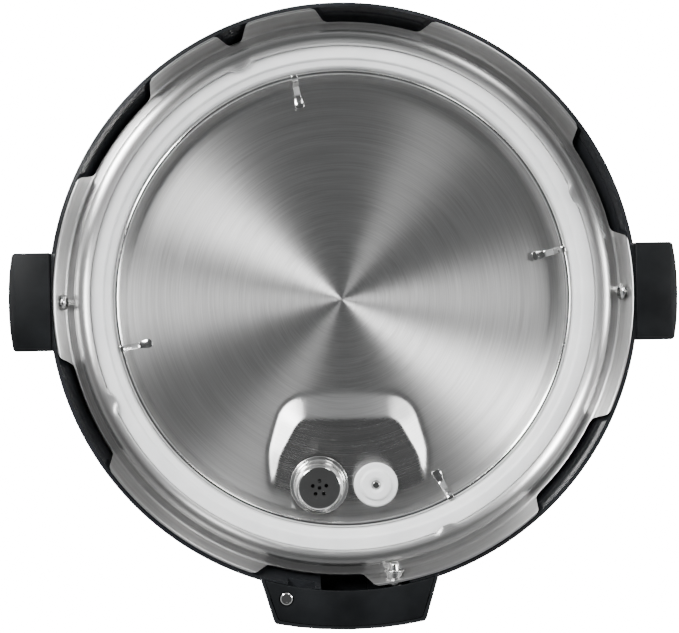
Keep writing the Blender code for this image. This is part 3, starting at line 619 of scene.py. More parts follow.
def soften(mesh: bpy.types.Mesh, width: float, segments: int = 4) -> bpy.types.Mesh:
    """Round the sharp edges of a mesh.

    Args:
        mesh: the mesh, which is replaced.
        width: width of the rounding.
        segments: facets in it.

    Returns:
        The rounded mesh.
    """
    def bevel(obj: bpy.types.Object) -> None:
        """Add the Bevel modifier."""
        step = obj.modifiers.new("Edges", "BEVEL")
        step.width = width
        step.segments = segments
        step.limit_method = "ANGLE"
        step.angle_limit = SMOOTH_ANGLE
    return baked(mesh, bevel)


def baked(mesh: bpy.types.Mesh, prepare: Any) -> bpy.types.Mesh:
    """Run modifiers on a mesh and keep the result as a plain mesh.

    Args:
        mesh: the mesh, which is removed.
        prepare: what adds the modifiers to an object of it.

    Returns:
        The new mesh.
    """
    obj = bpy.data.objects.new(mesh.name + "_work", mesh)
    bpy.context.scene.collection.objects.link(obj)
    prepare(obj)
    graph = bpy.context.evaluated_depsgraph_get()
    made = bpy.data.meshes.new_from_object(obj.evaluated_get(graph))
    bpy.data.objects.remove(obj)
    bpy.data.meshes.remove(mesh)
    return made


def carve(mesh: bpy.types.Mesh, *changes: tuple[str, bpy.types.Mesh]) -> bpy.types.Mesh:
    """Cut from, add to or keep parts of a closed mesh.

    Args:
        mesh: the mesh, which is removed.
        changes: ("DIFFERENCE", "UNION" or "INTERSECT", the other mesh), in order.

    Returns:
        The new mesh.
    """
    helpers = []

    def booleans(obj: bpy.types.Object) -> None:
        """Add one Boolean modifier for each change."""
        for operation, other in changes:
            helper = bpy.data.objects.new("helper", other)
            bpy.context.scene.collection.objects.link(helper)
            helpers.append(helper)
            step = obj.modifiers.new("Change", "BOOLEAN")
            step.operation = operation
            step.solver = "EXACT"
            step.object = helper
    made = baked(mesh, booleans)
    for helper in helpers:
        other = helper.data
        bpy.data.objects.remove(helper)
        bpy.data.meshes.remove(other)
    return made


def piece(name: str, mesh: bpy.types.Mesh, finish: bpy.types.Material, body: Body,
          nodes: Sequence[str] = ()) -> bpy.types.Object:
    """Finish a piece: shade it, dress it and hang it on its body.

    Args:
        name: the piece's name.
        mesh: its mesh, in place.
        finish: its material.
        body: the body it rides on.
        nodes: the CAD nodes it stands for, its own name's node if left out.

    Returns:
        The object.
    """
    mesh.name = name
    if not mesh.materials:
        mesh.materials.append(finish)
    else:
        for index in range(len(mesh.materials)):
            mesh.materials[index] = mesh.materials[index] or finish
    bm = bmesh.new()
    bm.from_mesh(mesh)
    bmesh.ops.remove_doubles(bm, verts=bm.verts, dist=0.002 * MM)
    bmesh.ops.dissolve_degenerate(bm, edges=bm.edges, dist=0.001 * MM)
    bm.to_mesh(mesh)
    bm.free()
    mesh.shade_smooth()
    mesh.set_sharp_from_angle(angle=SMOOTH_ANGLE)
    obj = bpy.data.objects.new(name + "_shape", mesh)
    bpy.context.scene.collection.objects.link(obj)
    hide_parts(*(nodes or (name,)))
    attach(obj, body.value)
    LOG.info("%s: %d faces", obj.name, len(mesh.polygons))
    return obj


def dress(node: str, finish: bpy.types.Material) -> None:
    """Give a CAD node's object a better material.

    Args:
        node: the node.
        finish: the material.
    """
    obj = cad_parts[node]
    obj.data.materials.clear()
    obj.data.materials.append(finish)
    LOG.info("%s: dressed", node)


def polar(radius: float, degrees: float) -> Point:
    """A point (x, y) round the lid's axis.

    Args:
        radius: distance from the axis.
        degrees: azimuth.

    Returns:
        The point.
    """
    angle = math.radians(degrees)
    return radius * math.cos(angle), radius * math.sin(angle)


# ---------------------------------------------------------------- geometry nodes

class Repeater:
    """A geometry tree that sets copies of a mesh round an axis."""

    def __init__(self) -> None:
        """Build the tree."""
        tree = bpy.data.node_groups.new("Repeat round an axis", "GeometryNodeTree")
        for name, kind in (("Item", "NodeSocketGeometry"), ("Count", "NodeSocketInt"),
                           ("First angle", "NodeSocketFloat"), ("Step angle", "NodeSocketFloat"),
                           ("Axis", "NodeSocketVector"), ("Finish", "NodeSocketMaterial")):
            tree.interface.new_socket(name, in_out="INPUT", socket_type=kind)
        tree.interface.new_socket("Copies", in_out="OUTPUT", socket_type="NodeSocketGeometry")
        wires = Wires(tree)
        inputs = wires.add("NodeGroupInput").outputs
        points = wires.add("GeometryNodePoints", {"Count": inputs["Count"], "Position": inputs["Axis"]})
        index = wires.add("GeometryNodeInputIndex").outputs[0]
        angle = wires.maths("ADD", inputs["First angle"],
                            wires.maths("MULTIPLY", index, inputs["Step angle"]))
        turn = wires.add("ShaderNodeCombineXYZ", {2: angle}).outputs[0]
        copies = wires.add("GeometryNodeInstanceOnPoints", {
            "Points": points.outputs[0], "Instance": inputs["Item"], "Rotation": turn})
        real = wires.add("GeometryNodeRealizeInstances", {0: copies.outputs[0]})
        dressed = wires.add("GeometryNodeSetMaterial",
                            {"Geometry": real.outputs[0], "Material": inputs["Finish"]})
        wires.add("NodeGroupOutput", {0: dressed.outputs[0]})
        self.tree = tree

    def run(self, item: bpy.types.Mesh, count: int, first: float, step: float,
            finish: bpy.types.Material, axis: Sequence[float] = (0.0, 0.0, 0.0)) -> bpy.types.Mesh:
        """Repeat a mesh.

        Args:
            item: the mesh of one copy, placed round the origin; it is removed.
            count: how many copies.
            first: azimuth of the first, in degrees.
            step: degrees from one to the next.
            finish: the copies' material.
            axis: where the axis stands.

        Returns:
            One mesh with all the copies.
        """
        values = {"Count": count, "First angle": math.radians(first), "Step angle": math.radians(step),
                  "Axis": tuple(axis), "Finish": finish}
        return run_tree(self.tree, item, values)


class Coil:
    """A geometry tree that winds a round wire into a spring along Z."""

    def __init__(self) -> None:
        """Build the tree."""
        tree = bpy.data.node_groups.new("Wound spring", "GeometryNodeTree")
        for name, kind in (("Blank", "NodeSocketGeometry"), ("Turns", "NodeSocketFloat"),
                           ("Radius", "NodeSocketFloat"), ("Length", "NodeSocketFloat"),
                           ("Wire radius", "NodeSocketFloat"), ("Finish", "NodeSocketMaterial")):
            tree.interface.new_socket(name, in_out="INPUT", socket_type=kind)
        tree.interface.new_socket("Spring", in_out="OUTPUT", socket_type="NodeSocketGeometry")
        wires = Wires(tree)
        inputs = wires.add("NodeGroupInput").outputs
        line = wires.add("GeometryNodeCurveSpiral", {
            "Resolution": 24, "Rotations": inputs["Turns"], "Start Radius": inputs["Radius"],
            "End Radius": inputs["Radius"], "Height": inputs["Length"]})
        ring = wires.add("GeometryNodeCurvePrimitiveCircle",
                         {"Resolution": 10, "Radius": inputs["Wire radius"]})
        tube = wires.add("GeometryNodeCurveToMesh", {
            "Curve": line.outputs[0], "Profile Curve": ring.outputs[0], "Fill Caps": True})
        real = wires.add("GeometryNodeRealizeInstances", {0: tube.outputs[0]})
        dressed = wires.add("GeometryNodeSetMaterial",
                            {"Geometry": real.outputs[0], "Material": inputs["Finish"]})
        wires.add("NodeGroupOutput", {0: dressed.outputs[0]})
        self.tree = tree

    def run(self, turns: float, radius: float, length: float, wire: float,
            finish: bpy.types.Material) -> bpy.types.Mesh:
        """Wind a spring.

        Args:
            turns: number of turns.
            radius: to the wire's middle.
            length: along Z.
            wire: radius of the wire.
            finish: its material.

        Returns:
            The spring's mesh.
        """
        values = {"Turns": turns, "Radius": radius, "Length": length, "Wire radius": wire, "Finish": finish}
        return run_tree(self.tree, bpy.data.meshes.new("spring"), values)


def run_tree(tree: bpy.types.NodeTree, item: bpy.types.Mesh, values: dict[str, Any]) -> bpy.types.Mesh:
    """Run a geometry tree on a mesh.

    Args:
        tree: the tree.
        item: the mesh that it starts from, which is removed.
        values: the value of each named input.

    Returns:
        The result as a plain mesh.
    """
    names = {s.name: s.identifier for s in tree.interface.items_tree if s.in_out == "INPUT"}

    def apply(obj: bpy.types.Object) -> None:
        """Add the modifier and set its inputs."""
        step = obj.modifiers.new("Nodes", "NODES")
        step.node_group = tree
        for name, value in values.items():
            step[names[name]] = value
    return baked(item, apply)


# ---------------------------------------------------------------- pressed lid

@dataclass
class PressedLid:
    """The steel pressing: disc, arch round the valves, bead, channel and notched skirt."""

    sheet: float = 1.2 * MM
    flat_r: float = 12.0 * MM
    disc_r: float = 104.0 * MM
    disc_drop: float = 8.0 * MM
    seat_z: float = -9.0 * MM
    wall_r: float = 125.1 * MM
    bead_z: float = -25.8 * MM
    bead_r: float = 130.4 * MM
    ceiling_z: float = -20.1 * MM
    shoulder_r: float = 137.3 * MM
    skirt_r: float = 139.7 * MM
    skirt_z: float = -31.85 * MM
    notch_r: float = 136.3 * MM
    notch_edge: float = 140.4 * MM
    notch_first: float = 37.0
    notch_open: float = 13.3
    notch_floor: float = 9.0
    v_at: float = 68.0
    v_half: float = 4.5
    v_r: float = 134.5 * MM
    dimple_first: float = 67.0
    dimple_wide: float = 11.6 * MM
    dimple_r: float = 122.4 * MM
    dimple_z: float = -23.2 * MM
    arch_x: float = -1.5 * MM
    arch_z: float = -8.0 * MM
    arch_slope: float = 9.0 / 17.5
    steps: int = 400

    def disc_height(self, radius: float) -> float:
        """Height of the disc's underside at a radius."""
        reach = max(radius - self.flat_r, 0.0) / (self.disc_r - self.flat_r)
        return -self.disc_drop * reach ** 2

    def rim_line(self) -> list[Point]:
        """Middle line of the sheet from the disc's edge to the skirt's edge."""
        edge = self.disc_height(self.disc_r) + self.sheet / 2
        corners = [
            (self.disc_r, edge, 0.0),
            (self.disc_r + 5 * MM, self.seat_z + 0.6 * MM, 6.0 * MM),
            (self.wall_r, self.seat_z, 3.5 * MM),
            (self.wall_r, self.bead_z, 2.6 * MM),
            (self.bead_r, self.bead_z, 2.7 * MM),
            (self.bead_r + 1.2 * MM, self.ceiling_z, 1.4 * MM),
            (self.shoulder_r, self.ceiling_z, 2.2 * MM),
            (self.skirt_r, self.skirt_z, 0.0),
        ]
        return finer(rounded(corners, steps=8), 1.0 * MM)

    def profile(self) -> list[Point]:
        """Closed section of the sheet, along its upper side, round the rim and back."""
        half = self.sheet / 2
        rim = self.rim_line()
        upper, under = beside(rim, half), beside(rim, -half)
        tip, way = Vector(rim[-1]), (Vector(rim[-1]) - Vector(rim[-2])).normalized()
        out = Vector((-way.y, way.x))
        lip = [tuple(tip + out * half * math.cos(a) + way * half * math.sin(a))
               for a in (math.pi * step / 6 for step in range(1, 6))]
        coarse = [self.disc_r * step / 30 for step in range(30)]
        fine = [self.disc_r * step / 96 for step in range(96)]
        top = [(r, self.disc_height(r) + self.sheet) for r in coarse]
        below = [(r, self.disc_height(r)) for r in reversed(fine)]
        return top + upper + lip + list(reversed(under)) + below

    def arch_outline(self) -> list[Point]:
        """Outline of the arch's shelf."""
        shape = ((25.0, -61.0, 8.0), (35.0, -79.0, 20.0), (41.5, -110.0, 1.0))
        right = [(self.arch_x + x * MM, y * MM, r * MM) for x, y, r in reversed(shape)]
        left = [(self.arch_x - x * MM, y * MM, r * MM) for x, y, r in shape]
        return rounded(right + left, steps=6, closed=True)

    def press_arch(self, mesh: bpy.types.Mesh) -> None:
        """Push the disc down to the arch's shelf and its sloping walls.

        Args:
            mesh: the turned sheet.
        """
        spots = points_of(mesh)
        radius = np.hypot(spots[:, 0], spots[:, 1])
        inner = radius < self.disc_r + 8 * MM
        reach = np.clip(radius - self.flat_r, 0, None) / (self.disc_r - self.flat_r)
        disc = -self.disc_drop * reach ** 2
        away = outside_distance(spots[:, :2], np.array(self.arch_outline()))
        soft = 0.55 * MM
        wall = self.arch_z + self.arch_slope * soft * np.logaddexp(0.0, away / soft)
        blend = 0.45 * MM
        low = -blend * np.logaddexp(-disc / blend, -wall / blend)
        push = np.where(inner, np.minimum(low - disc, 0.0), 0.0)
        fade = np.clip((self.disc_r + 2 * MM - radius) / (6 * MM), 0.0, 1.0)
        spots[:, 2] += push * fade
        mesh.vertices.foreach_set("co", spots.ravel())

    def press_dimples(self, mesh: bpy.types.Mesh) -> None:
        """Push four small dimples in from the wall, below the seal.

        Args:
            mesh: the turned sheet.
        """
        spots = points_of(mesh)
        radius = np.hypot(spots[:, 0], spots[:, 1])
        azimuth = np.degrees(np.arctan2(spots[:, 1], spots[:, 0]))
        off = (azimuth - self.dimple_first + 45) % 90 - 45
        along = np.radians(off) * self.wall_r / (self.dimple_wide / 2)
        down = (spots[:, 2] - self.dimple_z) / (1.9 * MM)
        near = np.clip(1 - np.abs(radius - self.wall_r) / (2.6 * MM), 0, 1) > 0.55
        bump = np.clip(1 - along ** 4, 0, 1) * np.exp(-down ** 2) * near
        depth = self.wall_r - self.sheet / 2 - self.dimple_r
        spots[:, :2] *= (1 - depth * bump / np.maximum(radius, MM))[:, None]
        mesh.vertices.foreach_set("co", spots.ravel())

    def tools(self, repeat: Repeater, blank: bpy.types.Material) -> bpy.types.Mesh:
        """One cutter for the notches, the V notch and every hole.

        Args:
            repeat: the tree that sets copies round the axis.
            blank: a material for the cutters.

        Returns:
            The cutter.
        """
        far, low, high = self.skirt_r + 8 * MM, self.skirt_z - 3 * MM, self.ceiling_z + 4 * MM
        side = []
        for step in range(16):
            share = 1 - step / 15
            rise = share * share * (3 - 2 * share) * (self.notch_edge - self.notch_r)
            turn = self.notch_floor + share * (self.notch_open - self.notch_floor)
            side.append((self.notch_r + rise, turn))
        flat = [(self.notch_r, a) for a in (6.0, 3.0, 0.0, -3.0, -6.0)]
        edge = side + flat + [(r, -a) for r, a in reversed(side)]
        outline = [polar(r, a) for r, a in edge + [(far, -self.notch_open), (far, self.notch_open)]]
        notch = loft("notch", outline, low, outline, high)
        notches = repeat.run(notch, 6, self.notch_first, 60.0, blank)
        v_line = rounded([(*polar(self.v_r, self.v_at), 1.0 * MM),
                          (*polar(self.skirt_r + 2 * MM, self.v_at - self.v_half), 0.0),
                          (*polar(self.skirt_r + 2 * MM, self.v_at + self.v_half), 0.0)], closed=True)
        holes = [notches, loft("v", v_line, low, v_line, high)]
        for (x, y), radius in ((ValveGroup.vent_at, 5.0 * MM), (ValveGroup.float_at, 3.2 * MM)):
            holes.append(rod("hole", (x, y, -14 * MM), (x, y, 2 * MM), radius))
        pin_x, pin_z = LockGroup.pin_x, LockGroup.pin_z
        holes.append(rod("hole", (pin_x, -132 * MM, pin_z), (pin_x, -145 * MM, pin_z), 3.9 * MM))
        for side in (-1, 1):
            z = CoverGroup.screw_z
            holes.append(rod("hole", (side * 132 * MM, 0, z), (side * 145 * MM, 0, z), 2.0 * MM))
        return merged("lid_tools", holes)

    def mark_arch(self, mesh: bpy.types.Mesh) -> None:
        """Store how much of the arch's wall and shelf each vertex belongs to; the brushed steel reads these
        as masks for a painted highlight on the wall and painted shade on the shelf.

        Args:
            mesh: the finished sheet.
        """
        spots = points_of(mesh)
        radius = np.hypot(spots[:, 0], spots[:, 1])
        reach = np.clip(radius - self.flat_r, 0, None) / (self.disc_r - self.flat_r)
        away = outside_distance(spots[:, :2], np.array(self.arch_outline()))
        wall = self.arch_z + self.arch_slope * np.maximum(away, 0.0)
        below = np.clip((-self.disc_drop * reach ** 2 - wall) / (0.9 * MM), 0.0, 1.0) * (spots[:, 1] < 0)
        below *= radius < self.disc_r + 3 * MM
        flat = np.clip(0.5 - away / (2.0 * MM), 0.0, 1.0)
        # Masks for painted light: a painted highlight on the sloping walls, and painted shade with lower
        # roughness on the flat shelf.
        for name, values in (("arch_wall_painted_highlight", below * (1 - flat)), ("arch_shelf_painted_shade_and_gloss", below * flat)):
            mesh.attributes.new(name, "FLOAT", "POINT").data.foreach_set("value", values)

    def roll(self) -> bpy.types.Mesh:
        """The rolled stiffener behind the skirt, which shows through the notches."""
        inner, low = self.notch_r - 1.2 * MM, self.ceiling_z + 1.1 * MM
        corners = [(inner, low, 0.0), (inner + 1.6 * MM, low, 1.0 * MM),
                   (inner + 3.4 * MM, low + 5 * MM, 3.0 * MM),
                   (inner + 2.2 * MM, low + 11 * MM, 0.0), (inner + 1.6 * MM, low + 11 * MM, 0.0),
                   (inner + 2.6 * MM, low + 5 * MM, 2.4 * MM), (inner + 1.2 * MM, low + 0.8 * MM, 0.6 * MM),
                   (inner, low + 0.8 * MM, 0.0)]
        return lathe("roll", rounded(corners, steps=6, closed=True), 320, ring=True)

    def build(self, repeat: Repeater, finishes: Sequence[bpy.types.Material]) -> None:
        """Make the pressing.

        Args:
            repeat: the tree that sets copies round the axis.
            finishes: those of the disc and of the rim.
        """
        sheet = lathe("pressed_lid", self.profile(), self.steps, ring=False)
        self.press_arch(sheet)
        self.press_dimples(sheet)
        sheet = carve(sheet, ("DIFFERENCE", self.tools(repeat, finishes[0])))
        sheet.materials.clear()
        for finish in finishes:
            sheet.materials.append(finish)
        for face in sheet.polygons:
            face.material_index = int(face.center.xy.length > self.disc_r + 4 * MM)
        self.mark_arch(sheet)
        roll = self.roll()
        for finish in finishes:
            roll.materials.append(finish)
        roll.polygons.foreach_set("material_index", [1] * len(roll.polygons))
        piece("pressed_lid", merged("pressed_lid", [sheet, roll]), finishes[0], Body.LID)


def points_of(mesh: bpy.types.Mesh) -> np.ndarray:
    """The vertices of a mesh as rows of an array."""
    flat = np.zeros(len(mesh.vertices) * 3)
    mesh.vertices.foreach_get("co", flat)
    return flat.reshape(-1, 3)


def finer(line: Sequence[Point], longest: float) -> list[Point]:
    """Split the long segments of a line.

    Args:
        line: its points.
        longest: longest segment to leave.

    Returns:
        The points with more between them.
    """
    made = [line[0]]
    for start, end in zip(line, line[1:]):
        start_at, end_at = Vector(start), Vector(end)
        parts = max(1, math.ceil((end_at - start_at).length / longest))
        made += [tuple(start_at.lerp(end_at, part / parts)) for part in range(1, parts + 1)]
    return made


def beside(line: Sequence[Point], offset: float) -> list[Point]:
    """A line moved sideways, to its left by offset.

    Args:
        line: its points.
        offset: how far.

    Returns:
        The moved points.
    """
    spots = [Vector(point) for point in line]
    made = []
    for index, here in enumerate(spots):
        before = spots[max(index - 1, 0)]
        after = spots[min(index + 1, len(spots) - 1)]
        way = (after - before).normalized()
        made.append(tuple(here + Vector((-way.y, way.x)) * offset))
    return made


def outside_distance(spots: np.ndarray, outline: np.ndarray) -> np.ndarray:
    """Signed distance from a convex outline, positive outside.

    Args:
        spots: rows of (x, y).
        outline: its points, anticlockwise.

    Returns:
        One distance for each row.
    """
    nearest = np.full(len(spots), np.inf)
    inside = np.ones(len(spots), bool)
    for start, end in zip(outline, np.roll(outline, -1, axis=0)):
        edge = end - start
        away = spots - start
        share = np.clip(away @ edge / max(edge @ edge, 1e-18), 0, 1)
        gap = away - share[:, None] * edge
        nearest = np.minimum(nearest, np.hypot(gap[:, 0], gap[:, 1]))
        inside &= edge[0] * away[:, 1] - edge[1] * away[:, 0] > 0
    return np.where(inside, -nearest, nearest)


# ---------------------------------------------------------------- seal, wire ring and clips

@dataclass
class SealGroup:
    """The silicone ring, the wire ring inside it and the four clips."""

    in_r: float = 114.3 * MM
    out_r: float = 124.45 * MM
    top: float = -10.6 * MM
    low: float = -21.4 * MM
    rack_r: float = 112.6 * MM
    rack_z: float = -16.0 * MM
    wire_r: float = 1.4 * MM
    clip_angles: tuple[float, ...] = (168.6, 78.6, -11.9, -117.2)
    clip_wide: float = 3.0 * MM
    clip_thick: float = 0.8 * MM
    foot_r: float = 98.5 * MM
    foot_z: float = -8.75 * MM

    def ring(self) -> bpy.types.Mesh:
        """The sealing ring: a thick body with a rolled inner lip."""
        i, o = self.in_r, self.out_r
        corners = [
            (o - 3.5 * MM, self.top, 0.4 * MM), (o - 1.2 * MM, self.top - 1.3 * MM, 0.8 * MM),
            (o, self.top - 3.5 * MM, 0.8 * MM), (o, self.low, 0.7 * MM), (i + 4.1 * MM, self.low, 1.1 * MM),
            (i + 3.4 * MM, self.low + 1.5 * MM, 0.7 * MM), (i + 0.6 * MM, self.low + 2.4 * MM, 1.2 * MM),
            (i, self.low + 6.0 * MM, 1.5 * MM), (i + 1.5 * MM, self.top - 1.0 * MM, 0.5 * MM),
            (i + 3.5 * MM, self.top, 0.6 * MM),
        ]
        return lathe("sealing_ring", rounded(corners, steps=5, closed=True), 320, ring=True)

    def wire(self) -> bpy.types.Mesh:
        """The wire ring."""
        around = [(self.rack_r + self.wire_r * math.cos(a), self.rack_z + self.wire_r * math.sin(a))
                  for a in (-math.tau * step / 16 for step in range(16))]
        return lathe("ring_rack", around, 320, ring=True)

    def clip_line(self) -> list[Point]:
        """Middle line of a clip, from its foot round the wire, as (radius, height)."""
        clear = self.wire_r + self.clip_thick / 2 + 0.35 * MM
        hook = [(self.rack_r + clear * math.cos(math.radians(a)),
                 self.rack_z + clear * math.sin(math.radians(a)))
                for a in range(180, 295, 10)]
        foot = self.foot_r
        start = [(foot, self.foot_z, 0.0), (foot + 6.5 * MM, self.foot_z, 3.0 * MM),
                 (foot + 10.3 * MM, self.rack_z + 3.2 * MM, 2.0 * MM), (*hook[0], 0.0)]
        return rounded(start, steps=4) + hook[1:]

    def clip(self) -> bpy.types.Mesh:
        """One bent clip on the +X side: flared foot with an embossed eye, narrow neck, hook."""
        line = finer(self.clip_line(), 0.6 * MM)
        upper, under = beside(line, self.clip_thick / 2), beside(line, -self.clip_thick / 2)
        verts, faces = [], []
        for (r, _), a, b in zip(line, upper, under):
            reach = (r - self.foot_r) / (7 * MM)
            half = self.clip_wide / 2 * (1.0 + 0.55 * math.exp(-((reach - 0.25) / 0.42) ** 2))
            half *= 0.62 + 0.38 * min(1.0, (r - self.foot_r) / (1.2 * MM) + 0.3)
            eye = 0.35 * MM * math.exp(-((reach - 0.3) / 0.16) ** 2)
            verts += [(a[0], -half, a[1]), (a[0], half, a[1]),
                      (b[0], half, b[1]), (b[0], 0.0, b[1] - eye), (b[0], -half, b[1])]
        for index in range(len(line) - 1):
            here, there = index * 5, index * 5 + 5
            for side in range(5):
                after = (side + 1) % 5
                faces.append((here + side, here + after, there + after, there + side))
        faces += [tuple(range(5)), tuple(reversed(range(len(verts) - 5, len(verts))))]
        mesh = bpy.data.meshes.new("clip")
        mesh.from_pydata(verts, [], faces)
        return soften(facing_out(mesh), 0.18 * MM, 2)

    def build(self, repeat: Repeater, silicone: bpy.types.Material, bright: bpy.types.Material) -> None:
        """Make the ring, the wire and the clips.

        Args:
            repeat: the tree that sets copies round the axis.
            silicone: finish of the seal.
            bright: finish of the wire and the clips.
        """
        piece("sealing_ring", self.ring(), silicone, Body.LID)
        piece("ring_rack", self.wire(), bright, Body.LID)
        clips = [repeat.run(self.clip(), 1, angle, 0.0, bright) for angle in self.clip_angles]
        names = ["rack_clip_{}".format(number) for number in range(1, 5)]
        piece("rack_clips", merged("rack_clips", clips), bright, Body.LID, names)


# ---------------------------------------------------------------- valves

@dataclass
class ValveGroup:
    """Vent pipe, its shield, the release valve and the float valve."""

    vent_at = (13.6 * MM, -93.6 * MM)
    float_at = (-14.6 * MM, -93.4 * MM)
    shelf: float = -8.0 * MM
    flange_r: float = 14.6 * MM
    ring_r: float = 12.3 * MM
    face_r: float = 10.3 * MM
    cup_top: float = -10.1 * MM
    cup_low: float = -21.0 * MM
    cup_wall: float = 0.8 * MM
    hole_r: float = 0.95 * MM
    hole_ring_r: float = 3.5 * MM
    pipe_r: float = 4.5 * MM
    pipe_top: float = 15.0 * MM
    knob_r: float = 13.0 * MM
    knob_low: float = 22.3 * MM
    knob_top: float = 31.0 * MM
    lever: float = 31.0 * MM
    float_r: float = 2.7 * MM
    float_top: float = 8.5 * MM
    cap_r: float = 11.1 * MM
    boss_r: float = 7.6 * MM
    cap_top: float = -13.4 * MM
    cap_low: float = -17.0 * MM

    def shield(self, repeat: Repeater, bright: bpy.types.Material) -> bpy.types.Mesh:
        """The cup over the vent pipe, with six holes in its face.

        Args:
            repeat: the tree that sets copies round an axis.
            bright: finish of the cutters.

        Returns:
            The cup.
        """
        wall, low, top = self.cup_wall, self.cup_low, self.cup_top
        corners = [
            (self.flange_r, top, 0.35 * MM), (self.flange_r, top - wall, 0.35 * MM),
            (self.ring_r, top - wall - 0.5 * MM, 1.2 * MM),
            (self.ring_r - 0.4 * MM, low + 2.2 * MM, 1.5 * MM),
            (self.face_r, low, 1.2 * MM), (0.0, low, 0.0), (0.0, low + wall, 0.0),
            (self.face_r - 0.3 * MM, low + wall, 0.8 * MM),
            (self.ring_r - wall - 0.4 * MM, low + 2.6 * MM, 1.0 * MM), (self.ring_r - wall, top, 0.0),
        ]
        cup = lathe("shield", rounded(corners, steps=5, closed=False), 128, ring=True,
                    at=(*self.vent_at, 0.0))
        hole = rod("hole", (self.hole_ring_r, 0, low - 2 * MM), (self.hole_ring_r, 0, low + 2 * MM),
                   self.hole_r, sides=24)
        outer = repeat.run(hole, 5, 90.0, 72.0, bright, axis=(*self.vent_at, 0.0))
        x, y = self.vent_at
        centre = rod("hole", (x, y, low - 2 * MM), (x, y, low + 2 * MM), self.hole_r, sides=24)
        return carve(cup, ("DIFFERENCE", merged("holes", [outer, centre])))

    def pipe(self) -> bpy.types.Mesh:
        """The vent pipe with its turned grooves."""
        low, r = self.shelf, self.pipe_r
        grooves = [(r - 0.35 * MM * (step % 2), 9.0 * MM - 0.55 * MM * step, 0.0) for step in range(24)]
        outer = [(1.5 * MM, self.pipe_top, 0.0), (r - 2.5 * MM, self.pipe_top, 0.4 * MM),
                 (r, self.pipe_top - 4 * MM, 0.5 * MM)] + grooves
        outer += [(r, low - GAP, 0.0), (r + 3.5 * MM, low - GAP, 0.2 * MM),
                  (r + 3.5 * MM, low - 2 * MM, 0.4 * MM), (1.5 * MM, low - 2 * MM, 0.0)]
        return lathe("pipe", rounded(outer, steps=3), 64, ring=True, at=(*self.vent_at, 0.0))

    def weight(self) -> bpy.types.Mesh:
        """The turned weight that closes the pipe."""
        r, top, seat = 9.0 * MM, 22.0 * MM, self.pipe_top + GAP
        bore = self.pipe_r + 0.4 * MM
        corners = [
            (0.0, top, 0.0), (4 * MM, top, 0.3 * MM), (4 * MM, top - 3 * MM, 0.4 * MM),
            (r, top - 3 * MM, 0.8 * MM), (r, 15.2 * MM, 0.2 * MM), (r - 0.6 * MM, 14.6 * MM, 0.2 * MM),
            (r, 14.0 * MM, 0.2 * MM), (r, 8.3 * MM, 0.6 * MM), (bore, 8.3 * MM, 0.3 * MM),
            (bore, self.pipe_top - 4 * MM + GAP, 0.2 * MM), (self.pipe_r - 2.1 * MM, seat, 0.2 * MM),
            (0.0, seat, 0.0),
        ]
        return lathe("weight", rounded(corners, steps=4), 96, at=(*self.vent_at, 0.0))

    def knob(self, repeat: Repeater, black: bpy.types.Material) -> bpy.types.Mesh:
        """The knob: a ribbed crown with a lever that points towards the handle.

        Args:
            repeat: the tree that sets copies round an axis.
            black: its finish.

        Returns:
            The knob.
        """
        x, y = self.vent_at
        low, top, r = self.knob_low, self.knob_top, self.knob_r
        corners = [(0.0, top, 0.0), (r - 2.4 * MM, top, 2.0 * MM), (r, top - 3.2 * MM, 2.0 * MM),
                   (r - 0.5 * MM, low, 1.0 * MM), (0.0, low, 0.0)]
        crown = lathe("knob", rounded(corners, steps=6), 128, at=(x, y, 0.0))
        lever = block("lever", (x - 4.4 * MM, y + 4 * MM, low + 1.7 * MM),
                      (x + 4.4 * MM, y + self.lever, top - 1.2 * MM), 1.9 * MM)
        recess = rod("recess", (x, y, top - 1.5 * MM), (x, y, top + 2 * MM), 6.3 * MM, sides=96)
        groove = rod("groove", (r + 0.15 * MM, 0, low - 1 * MM), (r - 0.1 * MM, 0, top + 1 * MM), 0.65 * MM,
                     sides=12)
        grooves = repeat.run(groove, 17, 122.0, 17.6, black, axis=(x, y, 0.0))
        return carve(crown, ("DIFFERENCE", grooves), ("UNION", lever), ("DIFFERENCE", recess))

    def float_pin(self) -> bpy.types.Mesh:
        """The float's pin with the collar that rests on the arch."""
        rest, r, neck = self.shelf + 1.2 * MM + GAP, self.float_r, 1.9 * MM
        under = self.cap_top + GAP + 0.8 * MM
        corners = [
            (0.0, self.float_top, 0.0), (r, self.float_top, 0.7 * MM), (r, rest + 1.5 * MM, 0.3 * MM),
            (r + 2.2 * MM, rest + 1.5 * MM, 0.3 * MM), (r + 2.2 * MM, rest, 0.3 * MM), (r, rest, 0.1 * MM),
            (r, under, 0.2 * MM), (neck, under, 0.1 * MM), (neck, self.cap_low + 0.6 * MM, 0.5 * MM),
            (0.0, self.cap_low + 0.6 * MM, 0.0),
        ]
        return lathe("float_pin", rounded(corners, steps=4), 64, at=(*self.float_at, 0.0))

    def float_cap(self) -> bpy.types.Mesh:
        """The silicone cap: a thin skirt, a thick boss and a rolled hole."""
        top, low, r = self.cap_top, self.cap_low, self.cap_r
        corners = [
            (r - 0.4 * MM, top, 0.3 * MM), (r, top - 0.9 * MM, 0.4 * MM),
            (r - 0.7 * MM, top - 1.7 * MM, 0.5 * MM),
            (self.boss_r + 0.3 * MM, top - 1.6 * MM, 0.5 * MM), (self.boss_r - 0.5 * MM, low, 0.9 * MM),
            (3.9 * MM, low, 0.6 * MM), (2.3 * MM, low + 1.0 * MM, 0.5 * MM), (2.3 * MM, top, 0.3 * MM),
        ]
        return lathe("float_cap", rounded(corners, steps=5, closed=True), 128, ring=True,
                     at=(*self.float_at, 0.0))

